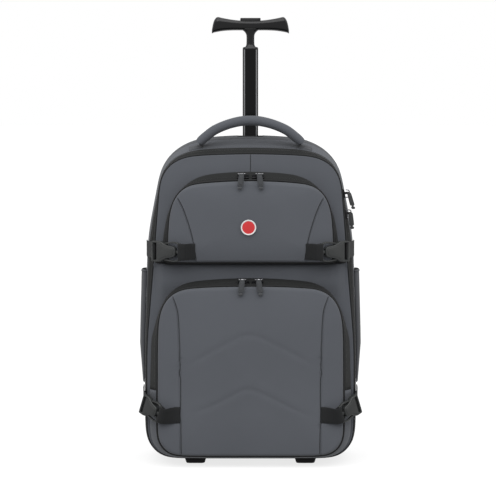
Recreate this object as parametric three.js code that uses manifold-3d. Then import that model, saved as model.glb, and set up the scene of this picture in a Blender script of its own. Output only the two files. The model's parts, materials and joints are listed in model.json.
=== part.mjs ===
// A wheeled backpack: a soft bag with two front pockets, two side pockets, compression straps, shoulder
// straps, two wheels and a telescopic pole with a T-grip. Millimetres, +Z up, the bag's front towards -Y.
// Every fabric panel is a wall of its own, so the compartments are hollow.
import * as THREE from "three";
import { mergeVertices } from "three/addons/utils/BufferGeometryUtils.js";
import Module from "manifold-3d";

const wasm = await Module();
wasm.setup();

// Bag
const bagHalfWidth = 165.5;
const bagBottom = 6.5;
const bagHeight = 498.5;
const bagBackY = 80; // the flat back, behind the main compartment
const bagCrestY = 56; // where the top and sides reach their full size
const faceBottomY = -50.3; // the front panel at the bag's bottom
const faceLean = 0.048; // how far the front panel leans back for each millimetre up
const fabricWall = 2.5;
const seamGap = 0.3; // between sewn pieces
const frontHalfWidth = 158;
const frontBottom = 11;
const frontHeight = 464;
const mainBandDepth = 20; // the zip band between the back shell and the front panel
const bandWall = 2.2;
const lipBlend = 0.6; // how far the back shell's lip has closed in on the front panel's outline
const panelRim = 5; // the turned edge of a sewn panel
const pipingRadius = 1.6;

// Front pockets
const lowerHalfWidth = 139.5;
const lowerBottom = 20;
const lowerHeight = 254.5;
const lowerFlare = { side: 15.5, below: 9.5, above: 14 }; // how far the seat reaches past the panel
const lowerDepth = 38;
const upperHalfWidth = 124;
const pocketSpacing = 25.5; // between the lower pocket's zip and the upper pocket's panel
const upperBottom = lowerBottom + lowerHeight + lowerFlare.above + pocketSpacing;
const upperHeight = 120;
const upperFlare = { side: 12, below: 5, above: 16.7 };
const upperDepth = 28;
const pocketDome = 6;
const badgeRadius = 11.5;
const badgeThickness = 2.4;
const badgeX = -3;
const badgeRise = 53; // its middle above the upper pocket's bottom

// Side pockets
const sidePocketBottom = 121;
const sidePocketTop = 297;
const sidePocketBackY = 48;
const sidePocketFrontY = 4;
const sidePocketBulge = 6;
const sidePocketWall = 2;
const sideGap = 1; // between the bag's side and what lies on it

// Carry handle
const handleHalfSpan = 82;
const handleCrownZ = bagBottom + bagHeight + 23.5; // middle of the grip
const handleY = 8;
const handleHalfThickness = 7.5;
const handleHalfDepth = 11;

// Telescopic pole
const poleY = 64;
const poleWidth = 24.5;
const poleDepth = 16;
const poleCorner = 4;
const poleWall = 1.3;
const poleTop = 639;
const poleLength = 455;
const poleClearance = 0.4;
const channelWall = 2.4;
const collarHeight = 24;
const collarFlange = 3;
const collarBorder = 6; // the collar's wall round the pole
const flangeOverhang = 2;

// Grip
const gripHalfLength = 60.5;
const gripNeckHeight = 30;
const gripHalfDepth = 13;
const gripHeight = 15; // at the saddle
const neckHalfWidth = 6.3;
const neckHalfDepth = 6;
const plugLength = 18;
const buttonLength = 32;
const buttonWidth = 10;
const buttonHeight = 9;
const buttonStandsOut = 4.5;
const buttonTravel = 3;
const buttonClearance = 0.5;

// Wheels and feet
const wheelX = 100;
const wheelY = 66;
const wheelRadius = 30;
const wheelWidth = 22;
const wheelBore = 4.4;
const axleRadius = 4;
const wheelSideClearance = 2;
const wheelWellClearance = 4;
const housingWall = 3.5;
const housingDrop = 0.5; // how far the housing reaches below the bag
const housingProud = 1.5; // how far it stands out of the bag's back
const footX = 85;
const footY = -17;
const footHalfWidth = 16;
const footHalfDepth = 24;

// Back
const padHalfWidth = 112;
const padBottom = 118;
const padHeight = 336;
const padThickness = 9;
const shoulderStrapWidth = 58;
const shoulderStrapThickness = 12;
const shoulderStrapGap = 27; // between the strap and the bag's back, where it stands out most
const lowerWebbingWidth = 25;
const webbingThickness = 1.6;
const adjusterLength = 24;
const adjusterThickness = 4;

// Compression straps
const webbingWidth = 25;
const buckleLength = 44;
const buckleHalfWidth = 16;
const buckleThickness = 8;
const buckleBar = 3;
const buckleSlot = 3.6;
const buckleWall = 1.7; // of the socket, above and below the tongue
const tongueClearance = 0.35;
const upperStrapRise = 16; // its middle above the upper pocket's bottom
const lowerStrapZ = 82;
const upperSeamX = 86; // where the straps are sewn into the pockets' panels
const lowerSeamX = 109;
const lowerStrapRise = 16; // the lower buckles climb towards the side
const strapStandOff = 5.2; // the buckle's middle plane, off the pocket's edge
const upperStrapAnchorY = 24;
const lowerStrapAnchorY = 14;

// Zips
const sliderLength = 14;
const sliderWidth = 8;
const sliderThickness = 2.4;
const sliderPost = 1.8;
const pivotRadius = 1.1;
const pivotStandOff = 4.6; // the bar above the slider's top
const eyeClearance = 0.5;
const eyeWall = 1.3;
const eyeLength = 2.4;
const pullClearance = 0.8; // between a hanging pull and the swollen panel behind it
const pullWidth = 11;
const pullLength = 15.5;
const pullThickness = 2.6;
const pullNeck = 4;
const upperSliderX = 13.5;
const lowerSliderX = 12.5;
const mainSliderZ = 417;
const mainSliderPitch = 31;
const mainSliderTilt = 9; // degrees, with the bag's side

// The outlines, seen from the front: each column is a share of the outline's own half width or height.
// hip, waist and shoulder lie on the side, corner pulls the round shoulder out, crown is where the top begins.
const OUTLINES = {
  rear: {
    radius: 0.262, hip: [1, 0.36], waist: [0.978, 0.68], shoulder: [0.874, 0.862],
    corner: [0.81, 0.965], crown: [0.45, 0.992],
  },
  front: {
    radius: 0.256, hip: [1, 0.376], waist: [0.936, 0.594], shoulder: [0.885, 0.878],
    corner: [0.869, 0.99], crown: [0.511, 0.995],
  },
  lowerSeat: {
    radius: 0.258, hip: [1, 0.372], waist: [0.984, 0.653], shoulder: [0.948, 0.727],
    corner: [0.855, 0.953], crown: [0.535, 0.98],
  },
  lowerPanel: {
    radius: 0.233, hip: [1, 0.384], waist: [1, 0.675], shoulder: [0.996, 0.784],
    corner: [0.975, 0.986], crown: [0.636, 0.991],
  },
  upperSeat: {
    radius: 0.074, hip: [1, 0.148], waist: [0.985, 0.303], shoulder: [0.952, 0.487],
    corner: [0.831, 0.903], crown: [0.485, 0.97],
  },
  upperPanel: {
    radius: 0.08, hip: [1, 0.172], waist: [1, 0.336], shoulder: [0.992, 0.525],
    corner: [0.976, 0.934], crown: [0.677, 0.964],
  },
  pad: {
    radius: 0.26, hip: [1, 0.36], waist: [0.99, 0.62], shoulder: [0.93, 0.86],
    corner: [0.9, 0.985], crown: [0.5, 0.992],
  },
};
const OUTLINE_STEPS = { bottom: 2, arc: 4, side: 1, corner: 5, crown: 3 };
const HIP_INDEX = OUTLINE_STEPS.bottom + OUTLINE_STEPS.arc + OUTLINE_STEPS.side;

const finish = (color, roughness, metalness = 0) =>
  new THREE.MeshStandardMaterial({ color, roughness, metalness });
const materials = {
  fabric: finish(0x55575b, 0.85),
  band: finish(0x2b2c2c, 0.8),
  piping: finish(0x141416, 0.6),
  webbing: finish(0x1f2020, 0.85),
  plastic: finish(0x3a3b3c, 0.5),
  gloss: finish(0x141416, 0.3),
  pole: finish(0x0e0e10, 0.25, 0.6),
  metal: finish(0x8d8d8f, 0.3, 0.9),
  rubber: finish(0x101010, 0.9),
  mesh: finish(0x232425, 0.95),
  badge: finish(0xc01418, 0.35),
};

const bag = new THREE.Group();
const leftSide = new THREE.Group(); // a mirror image of what is built for the right
leftSide.scale.x = -1;
bag.add(leftSide);

function add(name, geometry, material, parent = bag) {
  const mesh = new THREE.Mesh(geometry, material);
  mesh.name = name;
  parent.add(mesh);
  return mesh;
}

function addPair(name, geometry, material) {
  add(name + "_right", geometry, material);
  add(name + "_left", geometry, material, leftSide);
}

// Solids

function signedVolume(geometry) {
  const p = geometry.getAttribute("position");
  const [a, b, c] = [new THREE.Vector3(), new THREE.Vector3(), new THREE.Vector3()];
  let sum = 0;
  for (let i = 0; i < geometry.index.count; i += 3) {
    a.fromBufferAttribute(p, geometry.index.getX(i));
    b.fromBufferAttribute(p, geometry.index.getX(i + 1));
    c.fromBufferAttribute(p, geometry.index.getX(i + 2));
    sum += a.dot(b.cross(c)) / 6;
  }
  return sum;
}

function facingOut(geometry) {
  if (signedVolume(geometry) < 0) {
    geometry.setIndex(Array.from(geometry.index.array).reverse());
  }
  return geometry;
}

// Skins a row of sections with the same number of points. The second half of a section is divided as a mirror
// image of the first. Open rows get a cap at each end: a fan from the section's middle, or, for a thin bent
// section, a strip between its outer half and its inner half.
function skin(sections, { closed = false, stripCaps = false } = {}) {
  const count = sections[0].length;
  const points = sections.flat();
  const triangles = [];
  const rows = closed ? sections.length : sections.length - 1;
  for (let i = 0; i < rows; i++) {
    const here = i * count;
    const next = ((i + 1) % sections.length) * count;
    for (let j = 0; j < count; j++) {
      const k = (j + 1) % count;
      const [a, b, c, d] = [here + j, here + k, next + k, next + j];
      triangles.push(...(j < count / 2 ? [a, b, c, a, c, d] : [a, b, d, b, c, d]));
    }
  }
  const cap = (start, turned) => {
    const ring = [];
    if (stripCaps) {
      for (let j = 0; j < count / 2 - 1; j++) {
        const far = count - 1 - j;
        ring.push([start + j, start + far, start + far - 1], [start + j, start + far - 1, start + j + 1]);
      }
    } else {
      const middle = new THREE.Vector3();
      for (let j = 0; j < count; j++) middle.addScaledVector(points[start + j], 1 / count);
      points.push(middle);
      for (let j = 0; j < count; j++) {
        ring.push([points.length - 1, start + ((j + 1) % count), start + j]);
      }
    }
    for (const [a, b, c] of ring) triangles.push(...(turned ? [a, c, b] : [a, b, c]));
  };
  if (!closed) {
    cap(0, false);
    cap((sections.length - 1) * count, true);
  }
  const geometry = new THREE.BufferGeometry().setFromPoints(points);
  geometry.setIndex(triangles);
  return facingOut(geometry);
}

function solid(geometry) {
  const bare = geometry.clone();
  for (const name of Object.keys(bare.attributes)) {
    if (name !== "position") bare.deleteAttribute(name);
  }
  const merged = mergeVertices(bare, 1e-4);
  return new wasm.Manifold(
    new wasm.Mesh({
      numProp: 3,
      vertProperties: merged.attributes.position.array,
      triVerts: new Uint32Array(merged.index.array),
    }),
  );
}

function geometryOf(manifold) {
  const mesh = manifold.getMesh();
  const geometry = new THREE.BufferGeometry();
  geometry.setAttribute("position", new THREE.BufferAttribute(Float32Array.from(mesh.vertProperties), 3));
  geometry.setIndex(new THREE.BufferAttribute(Uint32Array.from(mesh.triVerts), 1));
  return geometry;
}

function joined(...geometries) {
  return geometryOf(geometries.map(solid).reduce((a, b) => a.add(b)));
}

function cut(geometry, ...tools) {
  return geometryOf(tools.map(solid).reduce((a, b) => a.subtract(b), solid(geometry)));
}

function box(x0, x1, y0, y1, z0, z1) {
  return new THREE.BoxGeometry(x1 - x0, y1 - y0, z1 - z0)
    .translate((x0 + x1) / 2, (y0 + y1) / 2, (z0 + z1) / 2);
}

function roundedRectangle(halfX, halfY, radius) {
  const shape = new THREE.Shape();
  shape.moveTo(halfX - radius, -halfY);
  shape.absarc(halfX - radius, -halfY + radius, radius, -Math.PI / 2, 0);
  shape.absarc(halfX - radius, halfY - radius, radius, 0, Math.PI / 2);
  shape.absarc(-halfX + radius, halfY - radius, radius, Math.PI / 2, Math.PI);
  shape.absarc(-halfX + radius, -halfY + radius, radius, Math.PI, Math.PI * 1.5);
  return shape;
}

function extruded(shape, depth, curveSegments = 3) {
  return new THREE.ExtrudeGeometry(shape, { depth, bevelEnabled: false, curveSegments });
}

// An upright prism between two heights.
function prism(shape, z0, z1, curveSegments) {
  return extruded(shape, z1 - z0, curveSegments).translate(0, 0, z0);
}

function polygon(points) {
  return new THREE.Shape(points.map(([x, y]) => new THREE.Vector2(x, y)));
}

// A closed ring of points in the XZ plane, anticlockwise from the front, from the middle of the bottom.
function outline({ halfWidth, bottom, height }, shape, inset = 0) {
  const half = halfWidth - inset;
  const low = bottom + inset;
  const tall = height - 2 * inset;
  const at = ([x, z]) => new THREE.Vector2(x * half, low + z * tall);
  const radius = shape.radius * halfWidth;
  const corner = new THREE.Vector2(half - radius, low + radius);
  const hip = at(shape.hip);
  const waist = at(shape.waist);
  const shoulder = at(shape.shoulder);
  const crown = at(shape.crown);
  const top = new THREE.Vector2(0, low + tall);
  const base = new THREE.Vector2(0, low);
  const pieces = [
    [new THREE.LineCurve(base, new THREE.Vector2(half - radius, low)), OUTLINE_STEPS.bottom],
    [new THREE.EllipseCurve(corner.x, corner.y, radius, radius, -Math.PI / 2, 0), OUTLINE_STEPS.arc],
    [new THREE.LineCurve(new THREE.Vector2(half, low + radius), hip), OUTLINE_STEPS.side],
    [new THREE.LineCurve(hip, waist), OUTLINE_STEPS.side],
    [new THREE.LineCurve(waist, shoulder), OUTLINE_STEPS.side],
    [new THREE.QuadraticBezierCurve(shoulder, at(shape.corner), crown), OUTLINE_STEPS.corner],
    [new THREE.QuadraticBezierCurve(crown, new THREE.Vector2(crown.x / 2, top.y), top), OUTLINE_STEPS.crown],
  ];
  const right = pieces.flatMap(([curve, steps]) => curve.getPoints(steps).slice(0, steps));
  const left = right.slice(1).reverse().map((p) => new THREE.Vector2(-p.x, p.y));
  return [...right, top, ...left];
}

const blend = (a, b, share) => a.map((p, i) => p.clone().lerp(b[i], share));

// Moves each point of a ring outwards along the ring's own normal.
function pushedOut(ring, distance) {
  return ring.map((p, i) => {
    const before = ring[(i + ring.length - 1) % ring.length];
    const after = ring[(i + 1) % ring.length];
    const along = after.clone().sub(before).normalize();
    return new THREE.Vector2(p.x + along.y * distance, p.y - along.x * distance);
  });
}

const faceY = (z) => faceBottomY + (z - bagBottom) * faceLean;
const atDepth = (ring, y) => ring.map((p) => new THREE.Vector3(p.x, y, p.y));
const behindFace = (ring, depth) => ring.map((p) => new THREE.Vector3(p.x, faceY(p.y) + depth, p.y));

// Bag body

const pipingWidth = 2 * (pipingRadius + seamGap);
const lipDepth = panelRim + pipingWidth + mainBandDepth + seamGap;
const rearSize = { halfWidth: bagHalfWidth, bottom: bagBottom, height: bagHeight };
const frontSize = { halfWidth: frontHalfWidth, bottom: frontBottom, height: frontHeight };
const rearRing = (inset = 0) => outline(rearSize, OUTLINES.rear, inset);
const frontRing = (inset = 0) => outline(frontSize, OUTLINES.front, inset);

// The outer surface between the back shell's lip and the front panel, at a depth behind the front panel.
function sideRing(depth, inset = 0) {
  const share = lipBlend + (1 - lipBlend) * (1 - depth / lipDepth);
  return pushedOut(blend(rearRing(), frontRing(), share), -inset);
}

// A ring's half width at a height, and its height above its hips at a half width.
function widthAt(ring, z) {
  const i = ring.findIndex((p, index) => p.y <= z && ring[index + 1].y >= z && ring[index + 1].y > p.y);
  const [a, b] = [ring[i], ring[i + 1]];
  return a.x + ((b.x - a.x) * (z - a.y)) / (b.y - a.y);
}

function heightAt(ring, x) {
  const reach = Math.abs(x);
  const i = ring.findIndex((p, index) => index > HIP_INDEX && p.x >= reach && ring[index + 1].x <= reach);
  const [a, b] = [ring[i], ring[i + 1]];
  return a.y + ((b.y - a.y) * (reach - a.x)) / (b.x - a.x);
}

// The back shell's outer surface is straight from its crest to its lip, so a point on it can be found.
const towardsLip = (y, z) => (bagCrestY - y) / (bagCrestY - faceY(z) - lipDepth);

function sideX(y, z) {
  const rear = widthAt(rearRing(), z);
  const lip = widthAt(sideRing(lipDepth), z);
  return rear + (lip - rear) * Math.max(0, towardsLip(y, z));
}

function topZ(x, y) {
  const rear = heightAt(rearRing(), x);
  const lip = heightAt(sideRing(lipDepth), x);
  return rear + (lip - rear) * towardsLip(y, (rear + lip) / 2);
}

// How the back shell rounds over into the bag's back: shares of the distance from crest to back, and insets
// in shares of that same distance.
const BACK_EDGE = [
  { depth: 1, inset: 0.62 },
  { depth: 0.92, inset: 0.3 },
  { depth: 0.6, inset: 0.07 },
  { depth: 0, inset: 0 },
];

const collarHalfX = poleWidth / 2 + poleClearance + collarBorder;
const collarHalfY = poleDepth / 2 + poleClearance + collarBorder - 1;
const collarSeatZ = bagBottom + bagHeight + seamGap;

const housingHalfX = wheelWidth / 2 + wheelSideClearance + housingWall;
const wellRadius = wheelRadius + wheelWellClearance;
const housingRadius = wellRadius + housingWall;
const axleZ = wheelRadius;
const housingBackY = bagBackY + housingProud;

// The housing's side view, grown by a clearance: an arch over the wheel, cut off at the bag's back.
function housingShape(grow) {
  const r = housingRadius + grow;
  const low = bagBottom - housingDrop - grow;
  const back = housingBackY + grow;
  const shape = new THREE.Shape();
  shape.moveTo(wheelY - r, low);
  shape.lineTo(back, low);
  shape.lineTo(back, axleZ + r);
  shape.lineTo(wheelY, axleZ + r);
  shape.absarc(wheelY, axleZ, r, Math.PI / 2, Math.PI);
  shape.closePath();
  return shape;
}

// Extrudes a side view, drawn as Y and Z, between two places across the bag.
function acrossBag(shape, x0, x1, curveSegments = 6) {
  return extruded(shape, x1 - x0, curveSegments)
    .applyMatrix4(new THREE.Matrix4().set(0, 0, 1, x0, 1, 0, 0, 0, 0, 1, 0, 0, 0, 0, 0, 1));
}

function housingBlock(side, grow) {
  const centre = side * wheelX;
  return acrossBag(housingShape(grow), centre - housingHalfX - grow, centre + housingHalfX + grow);
}

function backShell() {
  const edge = bagBackY - bagCrestY;
  const outer = BACK_EDGE.map(({ depth, inset }) =>
    atDepth(rearRing(inset * edge), bagCrestY + depth * edge),
  );
  const inner = BACK_EDGE.filter((row) => row.depth !== 1).map(({ depth, inset }) =>
    atDepth(rearRing(inset * edge + fabricWall), bagCrestY + depth * (edge - fabricWall)),
  );
  const lip = [0, fabricWall].map((inset) => behindFace(sideRing(lipDepth, inset), lipDepth));
  const shell = skin([...outer, lip[0], lip[1], ...inner.reverse()]);
  const grow = seamGap + 0.2;
  const hole = prism(roundedRectangle(collarHalfX + grow, collarHalfY + grow, poleCorner), collarSeatZ - 60,
    collarSeatZ + 10).translate(0, poleY, 0);
  return cut(shell, hole, housingBlock(1, grow), housingBlock(-1, grow));
}

// A sewn panel: a turned rim, a rounded edge and a face that may swell. The base and front rings give the
// slope of the wall behind it, and stand is how far the front ring is in front of the seat.
function panel(baseRing, frontEdge, stand, dome, centre) {
  const at = (height, inset, proud) =>
    pushedOut(blend(baseRing, frontEdge, height / stand), -inset).map(
      (p) => new THREE.Vector3(p.x, faceY(p.y) - proud, p.y),
    );
  const swollen = (share, rise, level) =>
    frontEdge.map((p) => {
      const x = p.x * share;
      const z = centre + (p.y - centre) * share;
      return new THREE.Vector3(x, faceY(z) - level - rise * dome, z);
    });
  const rimBack = stand - panelRim;
  const shape = [
    at(rimBack, 0, rimBack),
    at(stand - 1.2, 0, stand - 1.2),
    swollen(0.975, 0, stand),
    ...(dome ? [swollen(0.8, 0.55, stand), swollen(0.45, 0.93, stand), swollen(0.08, 1, stand)] : []),
  ];
  const level = stand - fabricWall;
  const hollow = [
    ...(dome ? [swollen(0.08, 1, level), swollen(0.45, 0.93, level), swollen(0.78, 0.55, level)] : []),
    at(level, fabricWall + 1, level),
    at(rimBack, fabricWall, rimBack),
  ];
  return skin([...hollow, ...shape]);
}

// A round cord sewn into the seam behind a panel's rim.
function piping(baseRing, frontEdge, stand) {
  const middle = stand - panelRim - seamGap - pipingRadius;
  const ring = pushedOut(blend(baseRing, frontEdge, middle / stand), pipingRadius * 0.2);
  const out = pushedOut(ring, 1);
  const corners = [0, 72, 144, 216, 288].map(THREE.MathUtils.degToRad);
  return skin(
    ring.map((p, i) =>
      corners.map((angle) => {
        const reach = Math.cos(angle) * pipingRadius;
        const x = p.x + (out[i].x - p.x) * reach;
        const z = p.y + (out[i].y - p.y) * reach;
        return new THREE.Vector3(x, faceY(z) - middle + Math.sin(angle) * pipingRadius, z);
      }),
    ),
    { closed: true },
  );
}

// A band of cloth between two heights above the seat, over all of the ring or from one point to another.
function band(baseRing, frontEdge, stand, low, high, from, to) {
  const corner = (height, inset) =>
    pushedOut(blend(baseRing, frontEdge, height / stand), -inset).map(
      (p) => new THREE.Vector3(p.x, faceY(p.y) - height, p.y),
    );
  const rings = [corner(low, 0), corner(high, 0), corner(high, bandWall), corner(low, bandWall)];
  const count = baseRing.length;
  const closed = from === undefined;
  const steps = closed ? count : ((to - from + count) % count) + 1;
  const sections = Array.from({ length: steps }, (_, i) => {
    const index = closed ? i : (from + i) % count;
    return rings.map((ring) => ring[index]);
  });
  return skin(sections, { closed });
}

// The main zip, the front panel and its piping are built with their heights counted from the lip, and are
// then moved back by the lip's depth, because they lie behind the face plane.
const lipRing = sideRing(lipDepth);
const frontEdge = frontRing();

function mainPiece(geometry) {
  return geometry.translate(0, lipDepth, 0);
}

add("back_shell", backShell(), materials.fabric);
add("main_zip_band", mainPiece(band(lipRing, frontEdge, lipDepth, seamGap, mainBandDepth)), materials.band);
add("main_piping", mainPiece(piping(lipRing, frontEdge, lipDepth)), materials.piping);
add("front_panel",
  mainPiece(panel(lipRing, frontEdge, lipDepth, 0, bagBottom + bagHeight / 2)), materials.fabric);

// Front pockets

const lowerSize = { halfWidth: lowerHalfWidth, bottom: lowerBottom, height: lowerHeight };
const upperSize = { halfWidth: upperHalfWidth, bottom: upperBottom, height: upperHeight };
const flared = ({ halfWidth, bottom, height }, { side, below, above }) =>
  ({ halfWidth: halfWidth + side, bottom: bottom - below, height: height + below + above });
const lowerBase = outline(flared(lowerSize, lowerFlare), OUTLINES.lowerSeat);
const lowerFront = outline(lowerSize, OUTLINES.lowerPanel);
const upperBase = outline(flared(upperSize, upperFlare), OUTLINES.upperSeat);
const upperFront = outline(upperSize, OUTLINES.upperPanel);

const bandTop = (stand) => stand - panelRim - pipingWidth;
const leftHip = lowerBase.length - HIP_INDEX;

add("lower_zip_band",
  band(lowerBase, lowerFront, lowerDepth, seamGap, bandTop(lowerDepth), HIP_INDEX, leftHip), materials.band);
const gussetEnd = 0.012; // the share of the ring's step that the cloth stops short of the zip
const gussetBase = shortened(lowerBase);
const gussetFront = shortened(lowerFront);
function shortened(ring) {
  const made = ring.slice();
  made[HIP_INDEX] = ring[HIP_INDEX].clone().lerp(ring[HIP_INDEX - 1], gussetEnd);
  made[leftHip] = ring[leftHip].clone().lerp(ring[leftHip + 1], gussetEnd);
  return made;
}
add("lower_pocket_gusset",
  band(gussetBase, gussetFront, lowerDepth, seamGap, bandTop(lowerDepth), leftHip, HIP_INDEX),
  materials.fabric);
add("lower_piping", piping(lowerBase, lowerFront, lowerDepth), materials.piping);
add("lower_pocket_panel",
  panel(lowerBase, lowerFront, lowerDepth, pocketDome, lowerBottom + lowerHeight / 2), materials.fabric);

add("upper_zip_band",
  band(upperBase, upperFront, upperDepth, seamGap, bandTop(upperDepth)), materials.band);
add("upper_piping", piping(upperBase, upperFront, upperDepth), materials.piping);
add("upper_pocket_panel",
  panel(upperBase, upperFront, upperDepth, pocketDome, upperBottom + upperHeight / 2), materials.fabric);

// A plain round badge on the upper pocket.
function badge() {
  const badgeZ = upperBottom + badgeRise;
  const y = faceY(badgeZ) - upperDepth - pocketDome - seamGap - badgeThickness / 2;
  return new THREE.CylinderGeometry(badgeRadius + 0.4, badgeRadius, badgeThickness, 20)
    .rotateX(-Math.atan(faceLean)).translate(badgeX, y, badgeZ);
}
add("badge", badge(), materials.badge);

// Side pockets: open at the top, gathered in at the bottom and at both edges.
const POCKET_ROWS = [
  { height: 0, bulge: 0.12 },
  { height: 0.1, bulge: 0.55 },
  { height: 0.3, bulge: 0.9 },
  { height: 0.65, bulge: 1 },
  { height: 0.93, bulge: 1 },
  { height: 1, bulge: 0.95 },
];
const POCKET_COLUMNS = [
  { depth: 0, bulge: 0 },
  { depth: 0.12, bulge: 0.8 },
  { depth: 0.3, bulge: 1 },
  { depth: 0.7, bulge: 1 },
  { depth: 0.88, bulge: 0.8 },
  { depth: 1, bulge: 0 },
];

function sidePocket() {
  const rows = POCKET_ROWS.map((row) => {
    const z = sidePocketBottom + (sidePocketTop - sidePocketBottom) * row.height;
    const point = (column, off) => {
      const y = sidePocketBackY + (sidePocketFrontY - sidePocketBackY) * column.depth;
      const bulge = sidePocketBulge * row.bulge * column.bulge;
      return new THREE.Vector3(sideX(y, z) + sideGap + bulge + off, y, z);
    };
    const outer = POCKET_COLUMNS.map((column) => point(column, sidePocketWall));
    const inner = POCKET_COLUMNS.map((column) => point(column, 0)).reverse();
    return [...outer, ...inner];
  });
  return skin(rows, { stripCaps: true });
}
addPair("side_pocket", sidePocket(), materials.fabric);

// Carry handle: a padded arch over the top, flat where it is sewn down.
const HANDLE_ROWS = [
  { along: 1, rise: 0, thick: 0.28 },
  { along: 0.93, rise: 0.12, thick: 0.55 },
  { along: 0.85, rise: 0.28, thick: 0.85 },
  { along: 0.68, rise: 0.56, thick: 1 },
  { along: 0.44, rise: 0.81, thick: 1 },
  { along: 0.2, rise: 0.965, thick: 1 },
  { along: 0, rise: 1, thick: 1 },
];

function carryHandle() {
  const side = HANDLE_ROWS.map((row) => ({ ...row, x: row.along * handleHalfSpan }));
  const rows = [...side, ...side.slice(0, -1).reverse().map((row) => ({ ...row, x: -row.x }))];
  const backY = handleY + handleHalfDepth;
  const seat = topZ(handleHalfSpan, backY) + seamGap + handleHalfThickness * HANDLE_ROWS[0].thick;
  const fall = topZ(handleHalfSpan, backY) - topZ(handleHalfSpan, handleY - handleHalfDepth);
  const slope = fall / (2 * handleHalfDepth);
  const corners = [0, 45, 90, 135, 180, 225, 270, 315].map(THREE.MathUtils.degToRad);
  return skin(
    rows.map(({ x, rise, thick }) =>
      corners.map((angle) => {
        const y = Math.cos(angle) * handleHalfDepth;
        const z = seat + (handleCrownZ - seat) * rise + Math.sin(angle) * handleHalfThickness * thick;
        return new THREE.Vector3(x, handleY + y, z + slope * (1 - rise) * (y - handleHalfDepth));
      }),
    ),
  );
}
add("carry_handle", carryHandle(), materials.fabric);

// Telescopic pole

function tube(halfX, halfY, corner, wall, z0, z1) {
  const shape = roundedRectangle(halfX, halfY, corner);
  const inner = roundedRectangle(halfX - wall, halfY - wall, Math.max(corner - wall, 0.5));
  shape.holes.push(new THREE.Path(inner.getPoints(3)));
  return prism(shape, z0, z1).translate(0, poleY, 0);
}

const channelHalfX = poleWidth / 2 + poleClearance + channelWall;
const channelHalfY = poleDepth / 2 + poleClearance + channelWall;
const channelBottom = bagBottom + 12;

function channel() {
  const outside = joined(
    prism(roundedRectangle(channelHalfX, channelHalfY, poleCorner + channelWall), channelBottom, collarSeatZ),
    prism(roundedRectangle(collarHalfX, collarHalfY, poleCorner), collarSeatZ - collarHeight, collarSeatZ),
    prism(roundedRectangle(collarHalfX + flangeOverhang, collarHalfY + flangeOverhang, poleCorner),
      collarSeatZ, collarSeatZ + collarFlange),
  );
  const bore = prism(
    roundedRectangle(poleWidth / 2 + poleClearance, poleDepth / 2 + poleClearance, poleCorner),
    channelBottom - 1, collarSeatZ + collarFlange + 1);
  return cut(outside, bore).translate(0, poleY, 0);
}
add("trolley_channel", channel(), materials.plastic);
add("pole",
  tube(poleWidth / 2, poleDepth / 2, poleCorner, poleWall, poleTop - poleLength, poleTop), materials.pole);

// Grip: a row of rounded sections along the bar, with a saddle in the middle and drooping ends. Heights are
// shares of the bar's height at the saddle.
const GRIP_ROWS = [
  { along: 0, top: 1, bottom: 0, depth: 0.9 },
  { along: 0.42, top: 1.1, bottom: 0, depth: 0.95 },
  { along: 0.74, top: 1.32, bottom: -0.08, depth: 1 },
  { along: 0.86, top: 1.4, bottom: -0.16, depth: 0.98 },
  { along: 0.935, top: 1.08, bottom: -0.22, depth: 0.88 },
  { along: 0.98, top: 0.5, bottom: -0.3, depth: 0.68 },
  { along: 1, top: 0.02, bottom: -0.34, depth: 0.42 },
];
const GRIP_SECTION = [
  [1, 0.35], [0.92, 0.78], [0.6, 1], [-0.6, 1], [-0.92, 0.78], [-1, 0.35],
  [-0.85, 0.08], [-0.4, 0], [0.4, 0], [0.85, 0.08],
];
const NECK_ROWS = [
  { height: 0, width: 1.05, depth: 1.1 },
  { height: 0.14, width: 1, depth: 1 },
  { height: 0.72, width: 1, depth: 1 },
  { height: 0.9, width: 1.35, depth: 1.15 },
  { height: 1.06, width: 2.1, depth: 1.4 },
];

function grip() {
  const saddle = poleTop + gripNeckHeight;
  const side = GRIP_ROWS.map((row) => ({ ...row, x: row.along * gripHalfLength }));
  const rows = [...side.slice(1).reverse(), ...side.map((row) => ({ ...row, x: -row.x }))];
  const bar = skin(
    rows.map(({ x, top, bottom, depth }) =>
      GRIP_SECTION.map(([across, up]) => new THREE.Vector3(
        x, poleY + across * depth * gripHalfDepth, saddle + gripHeight * (bottom + (top - bottom) * up))),
    ),
  );
  const capHeight = 3;
  const capBottom = poleTop + seamGap;
  const neckBottom = capBottom + capHeight;
  const rectangle = (halfX, halfY, z) =>
    roundedRectangle(halfX, halfY, Math.min(halfX, halfY) * 0.45).extractPoints(2).shape
      .map((p) => new THREE.Vector3(p.x, poleY + p.y, z));
  const neck = skin([
    rectangle(poleWidth / 2 - 0.4, poleDepth / 2 - 0.4, capBottom),
    rectangle(poleWidth / 2 - 0.4, poleDepth / 2 - 0.4, capBottom + 1),
    ...NECK_ROWS.map(({ height, width, depth }) =>
      rectangle(neckHalfWidth * width, neckHalfDepth * depth, neckBottom + height * (gripNeckHeight - capHeight))),
  ]);
  const plugGap = poleWall + seamGap;
  const plugShape = roundedRectangle(poleWidth / 2 - plugGap, poleDepth / 2 - plugGap, poleCorner - plugGap + 1);
  const plug = prism(plugShape, poleTop - plugLength, capBottom + 1).translate(0, poleY, 0);
  const recess = prism(
    roundedRectangle(buttonLength / 2 + buttonClearance, buttonWidth / 2 + buttonClearance, buttonWidth / 2),
    buttonBottom - buttonTravel - buttonClearance, saddle + 3 * gripHeight).translate(0, poleY, 0);
  return cut(joined(bar, neck, plug), recess);
}
const buttonTop = poleTop + gripNeckHeight + gripHeight + buttonStandsOut;
const buttonBottom = buttonTop - buttonHeight;
const buttonShape = roundedRectangle(buttonLength / 2, buttonWidth / 2, buttonWidth / 2 - 0.5);
const button = prism(buttonShape, buttonBottom, buttonTop).translate(0, poleY, 0);
add("grip", grip(), materials.gloss);
add("grip_button", button, materials.plastic);

// Wheels, housings and feet

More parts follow.
